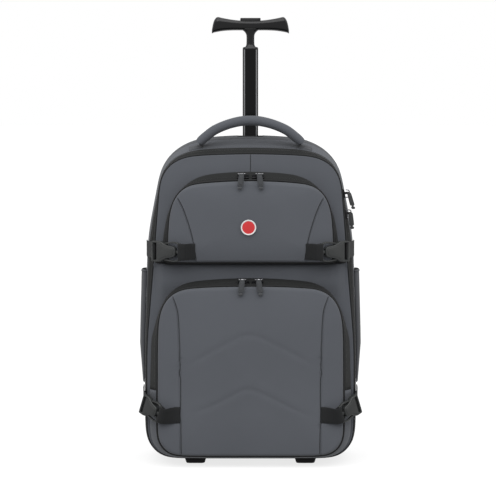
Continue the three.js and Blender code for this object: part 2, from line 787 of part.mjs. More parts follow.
function wheel() {
  const half = wheelWidth / 2;
  const rimRadius = wheelRadius * 0.62;
  const halfProfile = [
    [wheelBore, half * 0.9], [rimRadius, half * 0.8], [rimRadius + 2, half], [wheelRadius - 3, half * 0.82],
    [wheelRadius, half * 0.45],
  ];
  const profile = [...halfProfile.map(([r, x]) => [r, -x]), ...halfProfile.slice().reverse()];
  profile.push(profile[0]);
  return new THREE.LatheGeometry(profile.map(([r, x]) => new THREE.Vector2(r, x)), 20)
    .rotateZ(-Math.PI / 2).translate(wheelX, wheelY, axleZ);
}

function housing() {
  const well = new THREE.Shape();
  well.moveTo(wheelY - wellRadius, -1);
  well.lineTo(housingBackY + wheelRadius, -1);
  well.lineTo(housingBackY + wheelRadius, axleZ + wellRadius * 0.8);
  well.lineTo(wheelY + wellRadius * 0.5, axleZ + wellRadius * 0.97);
  well.lineTo(wheelY, axleZ + wellRadius);
  well.absarc(wheelY, axleZ, wellRadius, Math.PI / 2, Math.PI);
  const inside = housingHalfX - housingWall;
  const hollow = cut(housingBlock(1, 0), acrossBag(well, wheelX - inside, wheelX + inside));
  const axle = new THREE.CylinderGeometry(axleRadius, axleRadius, 2 * housingHalfX - housingWall, 12)
    .rotateZ(Math.PI / 2).translate(wheelX, wheelY, axleZ);
  return joined(hollow, axle);
}

// Each foot flares out towards the bag, and its top follows the bag's bottom.
const FOOT_ROWS = [
  { up: 0, wide: 0.88, deep: 0.88 },
  { up: 0.3, wide: 0.94, deep: 0.94 },
  { up: 0.7, wide: 1, deep: 1 },
  { up: 1, wide: 1.12, deep: 1 },
];

function foot() {
  const lipBottom = sideRing(lipDepth)[0].y;
  const roof = (y) => bagBottom + (lipBottom - bagBottom) * towardsLip(y, bagBottom) - seamGap;
  return skin(
    FOOT_ROWS.map(({ up, wide, deep }) =>
      roundedRectangle(footHalfWidth * wide, footHalfDepth * deep, footHalfWidth / 3).extractPoints(2).shape
        .map((p) => new THREE.Vector3(footX + p.x, footY + p.y, up * roof(footY + p.y)))),
  );
}

addPair("wheel", wheel(), materials.rubber);
addPair("wheel_housing", housing(), materials.plastic);
addPair("foot", foot(), materials.rubber);

// Back pad and shoulder straps

const padSize = { halfWidth: padHalfWidth, bottom: padBottom, height: padHeight };
const padFaceY = bagBackY + seamGap + padThickness;

function backPad() {
  const ring = (inset, y) => atDepth(outline(padSize, OUTLINES.pad, inset), y);
  return skin([
    ring(1, bagBackY + seamGap), ring(0, bagBackY + seamGap + padThickness * 0.3),
    ring(3, bagBackY + padThickness * 0.85), ring(12, padFaceY),
  ]);
}
add("back_pad", backPad(), materials.mesh);

// A strap along a path. Its width follows across, one direction a point, turned square to the path.
function strap(path, across, widths, thicknesses, padded = false) {
  const section = padded
    ? [[1, -0.35], [1, 0.35], [0.8, 1], [-0.8, 1], [-1, 0.35], [-1, -0.35], [-0.8, -1], [0.8, -1]]
    : [[1, -1], [1, 1], [-1, 1], [-1, -1]];
  return skin(
    path.map((p, i) => {
      const before = path[Math.max(i - 1, 0)];
      const tangent = path[Math.min(i + 1, path.length - 1)].clone().sub(before).normalize();
      const wide = across[i].clone().addScaledVector(tangent, -across[i].dot(tangent)).normalize();
      const thick = tangent.clone().cross(wide);
      return section.map(([u, v]) =>
        p.clone().addScaledVector(wide, (u * widths[i]) / 2).addScaledVector(thick, (v * thicknesses[i]) / 2));
    }),
  );
}

// The padded strap is sewn to the bag above the back pad, stands out and comes back in. off is a share of the
// gap, wide and thick are shares of the strap's own size.
const SHOULDER_ROWS = [
  { x: 0.36, z: 1.04, off: 0, wide: 0.8, thick: 0.35 },
  { x: 0.37, z: 1.015, off: 0.42, wide: 0.85, thick: 0.7 },
  { x: 0.43, z: 0.93, off: 0.85, wide: 0.95, thick: 1 },
  { x: 0.54, z: 0.79, off: 1, wide: 1, thick: 1 },
  { x: 0.63, z: 0.65, off: 0.99, wide: 1, thick: 1 },
  { x: 0.7, z: 0.51, off: 0.85, wide: 0.85, thick: 0.95 },
  { x: 0.74, z: 0.42, off: 0.78, wide: 0.62, thick: 0.5 },
];

function shoulderPath() {
  return SHOULDER_ROWS.map(({ x, z, off, thick }) => new THREE.Vector3(
    x * padHalfWidth,
    bagBackY + seamGap + off * shoulderStrapGap + (thick * shoulderStrapThickness) / 2,
    padBottom + z * padHeight,
  ));
}
const sideways = new THREE.Vector3(1, 0, 0);
const shoulderEnd = shoulderPath().at(-1);
const shoulderWidths = SHOULDER_ROWS.map((row) => row.wide * shoulderStrapWidth);
const shoulderThicknesses = SHOULDER_ROWS.map((row) => row.thick * shoulderStrapThickness);
addPair("shoulder_strap",
  strap(shoulderPath(), SHOULDER_ROWS.map(() => sideways), shoulderWidths, shoulderThicknesses, true),
  materials.mesh);

// A ladder-lock adjuster below the padded strap, and the webbing from it to the bag's lower corner.
const adjusterTop = shoulderEnd.z - shoulderStrapThickness / 2;
const anchorZ = 98;
const anchorX = bagHalfWidth * 0.84;

function adjuster() {
  const half = lowerWebbingWidth / 2 + 3;
  const plate = roundedRectangle(half, adjusterLength / 2, 3);
  for (const z of [-adjusterLength / 4, adjusterLength / 4]) {
    const slot = roundedRectangle(half - 2.4, 2, 0.8).getPoints(1);
    plate.holes.push(new THREE.Path(slot.map((p) => new THREE.Vector2(p.x, p.y + z))));
  }
  return extruded(plate, adjusterThickness, 2).translate(0, 0, -adjusterThickness / 2).rotateX(Math.PI / 2)
    .translate(shoulderEnd.x, shoulderEnd.y, adjusterTop - adjusterLength / 2);
}

function lowerWebbing() {
  const slotZ = adjusterTop - adjusterLength * 0.75;
  const at = (x, y, z) => new THREE.Vector3(x, y, z);
  const behind = shoulderEnd.y - adjusterThickness / 2 - 2 * seamGap - webbingThickness / 2;
  const seatY = bagBackY + 2 * seamGap + webbingThickness / 2;
  const path = [
    at(shoulderEnd.x, shoulderEnd.y + adjusterThickness / 2, slotZ),
    at(shoulderEnd.x, behind + 1.2, slotZ),
    at(shoulderEnd.x + 0.2, behind, slotZ - 1.2),
    at(shoulderEnd.x + 1.5, behind, slotZ - adjusterLength / 4 - 6),
    at(anchorX - 13, padFaceY + 2.5, padBottom + 36),
    at(anchorX - 3, seatY + 4, anchorZ + 14),
    at(anchorX, seatY, anchorZ),
    at(anchorX + 1, seatY, anchorZ - 10),
  ];
  const same = (value) => path.map(() => value);
  return strap(path, same(sideways), same(lowerWebbingWidth), same(webbingThickness));
}
addPair("strap_adjuster", adjuster(), materials.plastic);
addPair("lower_webbing", lowerWebbing(), materials.webbing);

// Compression straps. A buckle is drawn flat: u runs from the plug's webbing slot to the socket's, w is its
// width, v its thickness, with the bag on the side of +v.
const plugBody = buckleBar * 2 + buckleSlot + 2;
const socketStart = plugBody + tongueClearance;
const socketBody = buckleLength - 2 * buckleBar - buckleSlot;
const tongueEnd = socketBody - 4;
const slotHalf = webbingWidth / 2 + 0.5;
const tongueHalf = buckleHalfWidth - 3.6;
const tongueThickness = buckleThickness - 2 * (buckleWall + tongueClearance);

// Extrudes a shape drawn in u and w through v, about the middle plane.
function flat(shape, thickness) {
  return extruded(shape, thickness, 2).translate(0, 0, -thickness / 2).rotateX(Math.PI / 2);
}

function bucklePlug() {
  const h = buckleHalfWidth;
  const body = polygon([[0, -h + 1], [1, -h], [plugBody - 1, -h], [plugBody, -h + 2], [plugBody, h - 2],
    [plugBody - 1, h], [1, h], [0, h - 1]]);
  body.holes.push(new THREE.Path(polygon([[buckleBar, -slotHalf], [buckleBar, slotHalf],
    [buckleBar + buckleSlot, slotHalf], [buckleBar + buckleSlot, -slotHalf]]).getPoints()));
  const t = tongueHalf;
  const arm = 3.4;
  const from = plugBody - 1;
  const tongue = polygon([[from, -t], [tongueEnd - 2, -t], [tongueEnd, -t + 1.5], [tongueEnd - 1, -t + arm],
    [from + 3, -t + arm], [from + 3, -1.4], [tongueEnd - 3, -1.4], [tongueEnd - 3, 1.4], [from + 3, 1.4],
    [from + 3, t - arm], [tongueEnd - 1, t - arm], [tongueEnd, t - 1.5], [tongueEnd - 2, t], [from, t]]);
  return joined(flat(body, buckleThickness - 1.6), flat(tongue, tongueThickness));
}

function buckleSocket() {
  const h = buckleHalfWidth;
  const window = [socketStart + 4, socketStart + 13];
  const side = (s) => [
    [socketStart, s * (h - 1.5)], [window[0], s * (h - 0.5)], [window[0] + 2, s * (h - 2.6)],
    [window[1] - 2, s * (h - 2.6)], [window[1], s * h], [buckleLength - 1, s * h], [buckleLength, s * (h - 1)],
  ];
  const body = polygon([...side(-1), ...side(1).reverse()]);
  const slotFrom = buckleLength - buckleBar - buckleSlot;
  body.holes.push(new THREE.Path(polygon([[slotFrom, -slotHalf], [slotFrom, slotHalf],
    [slotFrom + buckleSlot, slotHalf], [slotFrom + buckleSlot, -slotHalf]]).getPoints()));
  const c = tongueClearance;
  const mouth = flat(polygon([[socketStart - 1, -tongueHalf - c], [tongueEnd + 1, -tongueHalf - c],
    [tongueEnd + 1, tongueHalf + c], [socketStart - 1, tongueHalf + c]]), tongueThickness + 2 * c);
  return cut(flat(body, buckleThickness), mouth);
}

// Places a buckle so that u runs from one point to another, with v towards the bag.
function bucklePlace(from, to) {
  const u = to.clone().sub(from).normalize();
  const v = u.clone().cross(new THREE.Vector3(0, 0, 1)).negate().normalize();
  const w = u.clone().cross(v).normalize();
  return new THREE.Matrix4().makeBasis(u, v, w).setPosition(from);
}

// The place of a buckle beside a pocket's front edge: it passes the edge's piping at strapStandOff.
function buckleLine(front, depth, z, share, degrees, rise) {
  const edgeX = widthAt(front, z) + pipingRadius;
  const edgeY = faceY(z) - depth + panelRim * 0.5;
  const angle = THREE.MathUtils.degToRad(degrees);
  const direction = new THREE.Vector3(Math.cos(angle), Math.sin(angle), 0);
  const out = new THREE.Vector3(Math.sin(angle), -Math.cos(angle), 0);
  const from = new THREE.Vector3(edgeX, edgeY, z).addScaledVector(out, strapStandOff)
    .addScaledVector(direction, -share * buckleLength);
  const to = from.clone().addScaledVector(direction, Math.sqrt(buckleLength ** 2 - rise ** 2)).setZ(z + rise);
  return [from, to];
}

function compressionStrap(name, line, panelDepth, seamX, z, rise, anchorY) {
  const place = bucklePlace(...line);
  const inBuckle = (u, v) => new THREE.Vector3(u, v, 0).applyMatrix4(place);
  const behind = buckleThickness / 2 + seamGap + webbingThickness / 2;
  const plugSlot = buckleBar + buckleSlot / 2;
  const socketSlot = buckleLength - plugSlot;
  const turn = 1.2; // the webbing's bend over the bar
  const inSlot = (slot, way) => [
    inBuckle(slot, -buckleThickness * 0.2), inBuckle(slot, behind - turn),
    inBuckle(slot + way * turn, behind), inBuckle(slot + way * (buckleBar + buckleSlot), behind),
  ];
  const lift = webbingThickness / 2 + seamGap;
  const panelY = faceY(z) - panelDepth - pocketDome * 0.62 - lift;
  const stub = [
    new THREE.Vector3(seamX, panelY, z),
    new THREE.Vector3((seamX + line[0].x) / 2, panelY, z),
    ...inSlot(plugSlot, -1).reverse(),
  ];
  const level = new THREE.Vector3(0, 0, 1);
  const tilted = new THREE.Vector3().setFromMatrixColumn(place, 2);
  const widths = (path) => path.map(() => webbingWidth);
  const thicknesses = (path) => path.map(() => webbingThickness);
  const stubAcross = stub.map((_, i) => (i < 2 ? level : tilted));
  addPair(name + "_stub", strap(stub, stubAcross, widths(stub), thicknesses(stub)), materials.webbing);
  addPair(name + "_plug", bucklePlug().applyMatrix4(place), materials.plastic);
  addPair(name + "_socket", buckleSocket().applyMatrix4(place), materials.plastic);
  const endZ = z + rise * 1.35;
  const onSide = (y) => new THREE.Vector3(sideX(y, endZ) + sideGap + webbingThickness / 2, y, endZ);
  const lipY = faceY(endZ) + lipDepth;
  const overPiping = new THREE.Vector3(
    widthAt(frontEdge, endZ) + pipingRadius + webbingThickness + 3.2, faceY(endZ) + panelRim, endZ);
  const rear = [
    ...inSlot(socketSlot, 1),
    overPiping, onSide(lipY + 4).add(new THREE.Vector3(0.8, 0, 0)), onSide(anchorY - 8), onSide(anchorY),
  ];
  const half = webbingWidth / 2;
  const lean = sideX(anchorY, endZ + half) - sideX(anchorY, endZ - half);
  const upSide = new THREE.Vector3(lean, 0, webbingWidth);
  const rearAcross = rear.map((_, i) => (i < 4 ? tilted : upSide));
  addPair(name + "_webbing", strap(rear, rearAcross, widths(rear), thicknesses(rear)), materials.webbing);
}

const upperStrapZ = upperBottom + upperStrapRise;
compressionStrap("upper_strap", buckleLine(upperFront, upperDepth, upperStrapZ, 0.42, 30, 0),
  upperDepth, upperSeamX, upperStrapZ, 0, upperStrapAnchorY);
compressionStrap("lower_strap", buckleLine(lowerFront, lowerDepth, lowerStrapZ, 0.3, 42, lowerStrapRise),
  lowerDepth, lowerSeamX, lowerStrapZ, lowerStrapRise, lowerStrapAnchorY);

// Zip sliders and pulls. Both are drawn with the pull hanging down and the bag on the side of +Y, with the
// pivot bar's middle at the origin.
const barLength = eyeLength + 2 * (seamGap + sliderPost);
const eyeRadius = pivotRadius + eyeClearance + eyeWall;

function slider(upright) {
  const [halfX, halfZ] = upright ? [sliderWidth / 2, sliderLength / 2] : [sliderLength / 2, sliderWidth / 2];
  const seat = pivotStandOff;
  const base = box(-halfX, halfX, seat, seat + sliderThickness, -halfZ, halfZ);
  const end = barLength / 2;
  const thick = pivotRadius + 0.35;
  const post = (x0, x1) => box(x0, x1, -thick, seat + 0.5, -thick, thick);
  const bar = new THREE.CylinderGeometry(pivotRadius, pivotRadius, barLength - sliderPost, 8)
    .rotateZ(Math.PI / 2);
  return joined(base, post(-end, sliderPost - end), post(end - sliderPost, end), bar);
}

// reach is how far in front of the pivot the tab hangs.
function pull(reach) {
  const eye = new THREE.Shape().absarc(0, 0, eyeRadius, 0, 2 * Math.PI);
  eye.holes.push(new THREE.Path().absarc(0, 0, pivotRadius + eyeClearance, 0, 2 * Math.PI, true));
  const ring = extruded(eye, eyeLength, 6).translate(0, 0, -eyeLength / 2).rotateY(Math.PI / 2);
  const edge = eyeRadius - 0.6;
  const top = -edge - pullNeck;
  const t = pullThickness / 2;
  const start = reach ? [[-edge, -1], [-edge, 1.2]] : [[t, -edge], [-t, -edge]];
  const armShape = polygon([...start, [-reach - t, top + 0.5], [-reach - t, top - 1], [-reach + t, top - 1]]);
  const arm = acrossBag(armShape, -eyeLength / 2, eyeLength / 2);
  const half = pullWidth / 2;
  const low = top - pullLength;
  const tab = polygon([[-half + 1.5, low], [half - 1.5, low], [half, low + 1.5], [half - 0.8, top],
    [half - 2.5, top + 1.8], [-half + 2.5, top + 1.8], [-half + 0.8, top], [-half, low + 1.5]]);
  const plate = extruded(tab, pullThickness, 1).translate(0, 0, -t).rotateX(Math.PI / 2)
    .translate(0, -reach, 0);
  return joined(ring, arm, plate);
}

// Where a slider's base rests on a zip band: the band's outer surface at a share of its height, at one x.
function bandTopPoint(base, front, depth, share, x) {
  const height = seamGap + share * (bandTop(depth) - seamGap);
  const ring = blend(base, front, height / depth);
  const z = heightAt(ring, x);
  return new THREE.Vector3(x, faceY(z) - height, z);
}

function frontZip(name, base, front, depth, x) {
  for (const [side, s] of [["right", 1], ["left", -1]]) {
    const back = bandTopPoint(base, front, depth, 0.3, x);
    const seat = bandTopPoint(base, front, depth, 0.75, x);
    const slope = Math.atan2(back.y - seat.y, back.z - seat.z);
    const lift = pivotStandOff + sliderThickness + seamGap;
    const pivot = [s * x, seat.y - lift * Math.cos(slope), seat.z + lift * Math.sin(slope)];
    add(`${name}_slider_${side}`, slider(false).rotateX(-slope).translate(...pivot), materials.metal);
    const hangZ = pivot[2] - eyeRadius - pullNeck - pullLength;
    const panelY = faceY(hangZ) - depth - pocketDome * 0.62;
    const reach = pivot[1] - panelY + pullThickness / 2 + pullClearance;
    add(`${name}_pull_${side}`, pull(reach).translate(...pivot), materials.plastic);
  }
}
frontZip("upper_zip", upperBase, upperFront, upperDepth, upperSliderX);
frontZip("lower_zip", lowerBase, lowerFront, lowerDepth, lowerSliderX);

// The main compartment's sliders are parked on the right side, one above the other.
function mainZip() {
  const depth = lipDepth - seamGap - mainBandDepth / 2;
  for (const [index, name] of ["top", "bottom"].entries()) {
    const z = mainSliderZ - index * mainSliderPitch;
    const x = widthAt(sideRing(depth), z);
    const place = new THREE.Matrix4()
      .makeTranslation(x + 5 * seamGap + sliderThickness + pivotStandOff, faceY(z) + depth, z)
      .multiply(new THREE.Matrix4().makeRotationZ(Math.PI / 2));
    const tilt = new THREE.Matrix4().makeRotationX(THREE.MathUtils.degToRad(-mainSliderTilt));
    add(`main_zip_slider_${name}`, slider(true).applyMatrix4(tilt).applyMatrix4(place), materials.metal);
    add(`main_zip_pull_${name}`, pull(0).applyMatrix4(place), materials.plastic);
  }
}
mainZip();

// The origin is on the floor, in the middle of the whole object's base.
const whole = new THREE.Box3().setFromObject(bag);
const middle = whole.getCenter(new THREE.Vector3());
bag.position.set(-middle.x, -middle.y, -whole.min.z);

export default bag;
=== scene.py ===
# The looks of the wheeled backpack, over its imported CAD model. Sizes are in the maker's millimetres, with the bag's
# own Y, and metres() sets them into the row frame.
import json
import math

import bmesh
import bpy
import numpy as np
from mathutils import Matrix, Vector

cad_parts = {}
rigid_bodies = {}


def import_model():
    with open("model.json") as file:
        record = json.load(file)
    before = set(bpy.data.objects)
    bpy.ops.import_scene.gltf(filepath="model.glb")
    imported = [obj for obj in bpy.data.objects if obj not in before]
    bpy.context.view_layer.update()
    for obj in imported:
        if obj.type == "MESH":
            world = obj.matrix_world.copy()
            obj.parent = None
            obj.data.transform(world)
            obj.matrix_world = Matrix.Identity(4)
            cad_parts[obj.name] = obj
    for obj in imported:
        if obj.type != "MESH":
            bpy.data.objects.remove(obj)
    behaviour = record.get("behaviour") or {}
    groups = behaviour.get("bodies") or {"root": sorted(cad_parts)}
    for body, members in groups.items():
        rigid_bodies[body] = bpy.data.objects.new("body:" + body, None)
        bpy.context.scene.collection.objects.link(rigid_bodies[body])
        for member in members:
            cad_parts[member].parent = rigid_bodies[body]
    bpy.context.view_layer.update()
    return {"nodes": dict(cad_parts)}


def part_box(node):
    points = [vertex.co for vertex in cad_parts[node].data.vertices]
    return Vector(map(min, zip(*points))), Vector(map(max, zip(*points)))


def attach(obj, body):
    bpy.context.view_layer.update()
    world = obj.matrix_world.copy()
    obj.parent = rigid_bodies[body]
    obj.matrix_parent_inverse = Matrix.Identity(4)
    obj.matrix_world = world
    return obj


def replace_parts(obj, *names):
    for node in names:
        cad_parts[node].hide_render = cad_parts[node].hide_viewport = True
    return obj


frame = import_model()
MM = 0.001
POLE_Y = 64.0
SHIFT_Y = (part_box("pole")[0].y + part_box("pole")[1].y) / 2 / MM - POLE_Y

# Sizes, as in the CAD

BAG_BOTTOM = 6.5
BACK_Y = 80.0
CREST_Y = 56.0
FACE_BOTTOM_Y = -50.3
FACE_LEAN = 0.048
SEAM_GAP = 0.3
PANEL_RIM = 5.0
PIPING_RADIUS = 1.6
MAIN_ZIP_WIDTH = 20.0
LIP_DEPTH = PANEL_RIM + 2 * (PIPING_RADIUS + SEAM_GAP) + MAIN_ZIP_WIDTH + SEAM_GAP
LIP_BLEND_TOP, LIP_BLEND_SIDE = 0.6, 0.26
FABRIC_WALL = 2.5
LOWER_DEPTH = 38.0
UPPER_DEPTH = 28.0
POCKET_DOME = 6.0

REAR = {
    "half": 165.5, "bottom": BAG_BOTTOM, "height": 498.5, "radius": 0.262, "hip": (1, 0.36), "waist": (0.978, 0.68),
    "shoulder": (0.874, 0.862), "corner": (0.81, 0.965), "crown": (0.45, 0.992),
}
FRONT = {
    "half": 158, "bottom": 11, "height": 464, "radius": 0.256, "hip": (1, 0.376), "waist": (0.936, 0.594),
    "shoulder": (0.885, 0.878), "corner": (0.869, 0.99), "crown": (0.511, 0.995),
}
LOWER_SEAT = {
    "half": 155, "bottom": 10.5, "height": 281.5, "radius": 0.258, "hip": (1, 0.372), "waist": (0.984, 0.653),
    "shoulder": (0.948, 0.727), "corner": (0.855, 0.953), "crown": (0.535, 0.98),
}
LOWER_PANEL = {
    "half": 139.5, "bottom": 20, "height": 254.5, "radius": 0.233, "hip": (1, 0.384), "waist": (1, 0.675),
    "shoulder": (0.996, 0.784), "corner": (0.975, 0.986), "crown": (0.636, 0.991),
}
UPPER_SEAT = {
    "half": 136, "bottom": 309, "height": 141.7, "radius": 0.074, "hip": (1, 0.148), "waist": (0.985, 0.303),
    "shoulder": (0.952, 0.487), "corner": (0.831, 0.903), "crown": (0.485, 0.97),
}
UPPER_PANEL = {
    "half": 124, "bottom": 314, "height": 120, "radius": 0.08, "hip": (1, 0.172), "waist": (1, 0.336),
    "shoulder": (0.992, 0.525), "corner": (0.976, 0.934), "crown": (0.677, 0.964),
}
BACK_PAD = {
    "half": 112, "bottom": 118, "height": 336, "radius": 0.26, "hip": (1, 0.36), "waist": (0.99, 0.62),
    "shoulder": (0.93, 0.86), "corner": (0.9, 0.985), "crown": (0.5, 0.992),
}
RING_STEPS = {"bottom": 10, "arc": 12, "side": 12, "corner": 24, "crown": 12}
HIP = RING_STEPS["bottom"] + RING_STEPS["arc"] + RING_STEPS["side"]


def face_y(z):
    """The front panel's depth at a height."""
    return FACE_BOTTOM_Y + (z - BAG_BOTTOM) * FACE_LEAN


def metres(points):
    """Points in millimetres, set into the row frame."""
    return (np.asarray(points, float) + (0, SHIFT_Y, 0)) * MM


def millimetres(point):
    """A point of the row frame, back in the maker's millimetres."""
    return np.array(point) / MM - (0, SHIFT_Y, 0)


# Curves


def bezier(points, steps):
    t = np.linspace(0, 1, steps, endpoint=False)[:, None]
    a, b, c = (np.array(p, float) for p in points)
    return (1 - t) ** 2 * a + 2 * t * (1 - t) * b + t**2 * c


def straight(a, b, steps):
    t = np.linspace(0, 1, steps, endpoint=False)[:, None]
    return np.array(a, float) * (1 - t) + np.array(b, float) * t


def outline(form, inset=0.0, steps=RING_STEPS, rounds=8):
    """A closed ring in the XZ plane, from the middle of the bottom, rounded where its lines meet."""
    half = form["half"] - inset
    low = form["bottom"] + inset
    tall = form["height"] - 2 * inset
    radius = form["radius"] * form["half"]
    hip, waist, shoulder, corner, crown = (
        (form[name][0] * half, low + form[name][1] * tall)
        for name in ("hip", "waist", "shoulder", "corner", "crown")
    )
    top = (0, low + tall)
    turn = np.linspace(-math.pi / 2, 0, steps["arc"], endpoint=False)
    arc = np.column_stack((half - radius + radius * np.cos(turn), low + radius + radius * np.sin(turn)))
    right = np.vstack((
        straight((0, low), (half - radius, low), steps["bottom"]),
        arc,
        straight((half, low + radius), hip, steps["side"]),
        straight(hip, waist, steps["side"]),
        straight(waist, shoulder, steps["side"]),
        bezier((shoulder, corner, crown), steps["corner"]),
        bezier((crown, (crown[0] / 2, top[1]), top), steps["crown"]),
    ))
    ring = np.vstack((right, top, right[:0:-1] * (-1, 1)))
    for _ in range(rounds):
        ring = 0.25 * np.roll(ring, 1, 0) + 0.5 * ring + 0.25 * np.roll(ring, -1, 0)
    return ring


def grown(ring, distance):
    """Moves each point of a ring outwards along the ring's own normal."""
    along = np.roll(ring, -1, 0) - np.roll(ring, 1, 0)
    along /= np.linalg.norm(along, axis=1)[:, None]
    return ring + np.column_stack((along[:, 1], -along[:, 0])) * distance


def width_at(ring, z):
    """A ring's half width at a height."""
    right = ring[np.argmax(ring[:, 0] >= 0.5 * ring[:, 0].max()):len(ring) // 2 + 1]
    return float(np.interp(z, right[:, 1], right[:, 0]))


def between(a, b, share):
    return a + (b - a) * share


def behind_face(ring, depth):
    """A flat ring laid at a depth behind the leaning front."""
    return np.column_stack((ring[:, 0], face_y(ring[:, 1]) + depth, ring[:, 1]))


def at_depth(ring, y):
    return np.column_stack((ring[:, 0], np.full(len(ring), y), ring[:, 1]))


def smooth_path(points, steps=8):
    """A curve through all the points, rounded at each."""
    p = np.asarray(points, float)
    ends = np.vstack((2 * p[0] - p[1], p, 2 * p[-1] - p[-2]))
    t = np.linspace(0, 1, steps, endpoint=False)[:, None]
    spans = []
    for a, b, c, d in zip(ends, ends[1:], ends[2:], ends[3:]):
        spans.append(0.5 * (2 * b + (c - a) * t + (2 * a - 5 * b + 4 * c - d) * t**2
                            + (3 * b - a - 3 * c + d) * t**3))
    return np.vstack((*spans, p[-1:]))


def evenly(path, pitch, closed=False):
    """Points at an even pitch along a path."""
    p = np.vstack((path, path[:1])) if closed else np.asarray(path, float)
    reach = np.concatenate(([0], np.cumsum(np.linalg.norm(np.diff(p, axis=0), axis=1))))
    count = max(2, round(reach[-1] / pitch) + (0 if closed else 1))
    at = np.linspace(0, reach[-1], count, endpoint=not closed)
    return np.column_stack([np.interp(at, reach, p[:, i]) for i in range(p.shape[1])])


def eased(path, pitch=1.3, rounds=4):
    """A path with its corners eased, its ends kept."""
    p = evenly(path, pitch)
    for _ in range(rounds):
        p[1:-1] = 0.25 * p[:-2] + 0.5 * p[1:-1] + 0.25 * p[2:]
    return p


def tangents(path, closed=False):
    if closed:
        along = np.roll(path, -1, 0) - np.roll(path, 1, 0)
    else:
        along = np.gradient(path, axis=0)
    return along / np.linalg.norm(along, axis=1)[:, None]


# Meshes


def finished(name, points, faces, uvs, material, body="bag", slot=None):
    """A piece from points in millimetres, faces, and each face's UVs in metres."""
    mesh = bpy.data.meshes.new(name)
    mesh.from_pydata(metres(points).tolist(), [], faces)
    if uvs is not None:
        layer = mesh.uv_layers.new(name="UVMap")
        layer.data.foreach_set("uv", np.asarray(uvs, np.float32).ravel())
    mesh.validate()
    obj = bpy.data.objects.new(name, mesh)
    bpy.context.scene.collection.objects.link(obj)
    mesh.materials.append(material)
    mesh.polygons.foreach_set("use_smooth", [True] * len(mesh.polygons))
    outwards(obj)
    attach(obj, body)
    return obj


def outwards(obj):
    mesh = bmesh.new()
    mesh.from_mesh(obj.data)
    bmesh.ops.recalc_face_normals(mesh, faces=mesh.faces)
    if mesh.calc_volume(signed=True) < 0:
        bmesh.ops.reverse_faces(mesh, faces=mesh.faces)
    mesh.to_mesh(obj.data)
    mesh.free()


def grid(rows, around, stacked):
    """The faces and UVs that skin rows of points. Each row is a ring if around, and the last row meets the first
    if stacked."""
    rows = [np.asarray(row, float) for row in rows]
    count = len(rows[0])
    middle = rows[len(rows) // 3]
    loop = np.vstack((middle, middle[:1])) if around else middle
    u = np.concatenate(([0], np.cumsum(np.linalg.norm(np.diff(loop, axis=0), axis=1)))) * MM
    steps = [0] + [np.linalg.norm(b - a, axis=1).mean() for a, b in zip(rows, rows[1:] + rows[:1])]
    v = np.cumsum(steps) * MM
    faces, uvs = [], []
    for i in range(len(rows) if stacked else len(rows) - 1):
        here, there = i * count, ((i + 1) % len(rows)) * count
        for j in range(count if around else count - 1):
            k = (j + 1) % count
            faces.append((here + j, here + k, there + k, there + j))
            uvs += [(u[j], v[i]), (u[j + 1], v[i]), (u[j + 1], v[i + 1]), (u[j], v[i + 1])]
    return np.vstack(rows), faces, uvs


def loft(name, rows, material, around=True, stacked=False, tips=(), **place):
    """Skins rows of points. tips names the ends that are closed: "first", "last" with a fan to the row's middle,
    "sides" where an open stack of rows is a closed section at each side."""
    points, faces, uvs = grid(rows, around, stacked)
    count = len(rows[0])
    total = len(points)
    extra = []
    for tip, start in (("first", 0), ("last", total - count)):
        if tip in tips:
            centre = total + len(extra)
            extra.append(points[start:start + count].mean(axis=0))
            for j in range(count):
                faces.append((centre, start + j, start + (j + 1) % count))
                uvs += [(extra[-1][i] * MM, extra[-1][2] * MM) for i in (0, 0, 0)]
    if "sides" in tips:
        for side in (0, count - 1):
            section = [i * count + side for i in range(len(rows))]
            faces.append(tuple(section))
            uvs += [(points[i][1] * MM, points[i][2] * MM) for i in section]
    points = np.vstack((points, *extra)) if extra else points
    return finished(name, points, faces, uvs, material, **place)


def tube(name, path, radius, material, sides=10, closed=False, flat=1.0, **place):
    """A cord of a given radius along a path, flat times as thick as it is wide."""
    along = tangents(path, closed)
    up = np.array((0.0, -1.0, 0.0))
    side = np.cross(along, up)
    side /= np.maximum(np.linalg.norm(side, axis=1), 1e-6)[:, None]
    top = np.cross(side, along)
    turn = np.linspace(0, 2 * math.pi, sides, endpoint=False)
    r = np.broadcast_to(np.asarray(radius, float), (len(path),))[:, None]
    rows = [path + side * r * math.cos(a) + top * r * flat * math.sin(a) for a in turn]
    tips = () if closed else ("sides",)
    return loft(name, rows, material, around=closed, stacked=True, tips=tips, **place)


def ribbon(name, path, across, width, thickness, material, **place):
    """A flat strap along a path: round at its two edges, its width along the directions in across."""
    route, wide = np.hsplit(eased(np.hstack((path, across))), 2)
    along = tangents(route)
    wide = wide - along * np.sum(wide * along, axis=1)[:, None]
    wide /= np.linalg.norm(wide, axis=1)[:, None]
    thick = np.cross(along, wide)
    half, deep = width / 2, thickness / 2
    section = [(1, 0), (0.985, 0.7), (0.94, 1), (0.5, 0.92), (0, 0.9), (-0.5, 0.92), (-0.94, 1), (-0.985, 0.7)]
    section += [(-u, -v) for u, v in section]
    rows = [route + wide * half * u + thick * deep * v for u, v in section]
    return loft(name, rows, material, around=False, stacked=True, tips=("sides",), **place)


def distances(points, lines):
    """Each point's distance to the nearest of some polylines."""
    nearest = np.full(len(points), 1e9)
    for line in lines:
        for a, b in zip(line[:-1], line[1:]):
            run = b - a
            t = np.clip((points - a) @ run / max(run @ run, 1e-9), 0, 1)[:, None]
            nearest = np.minimum(nearest, np.linalg.norm(points - a - t * run, axis=1))
    return nearest


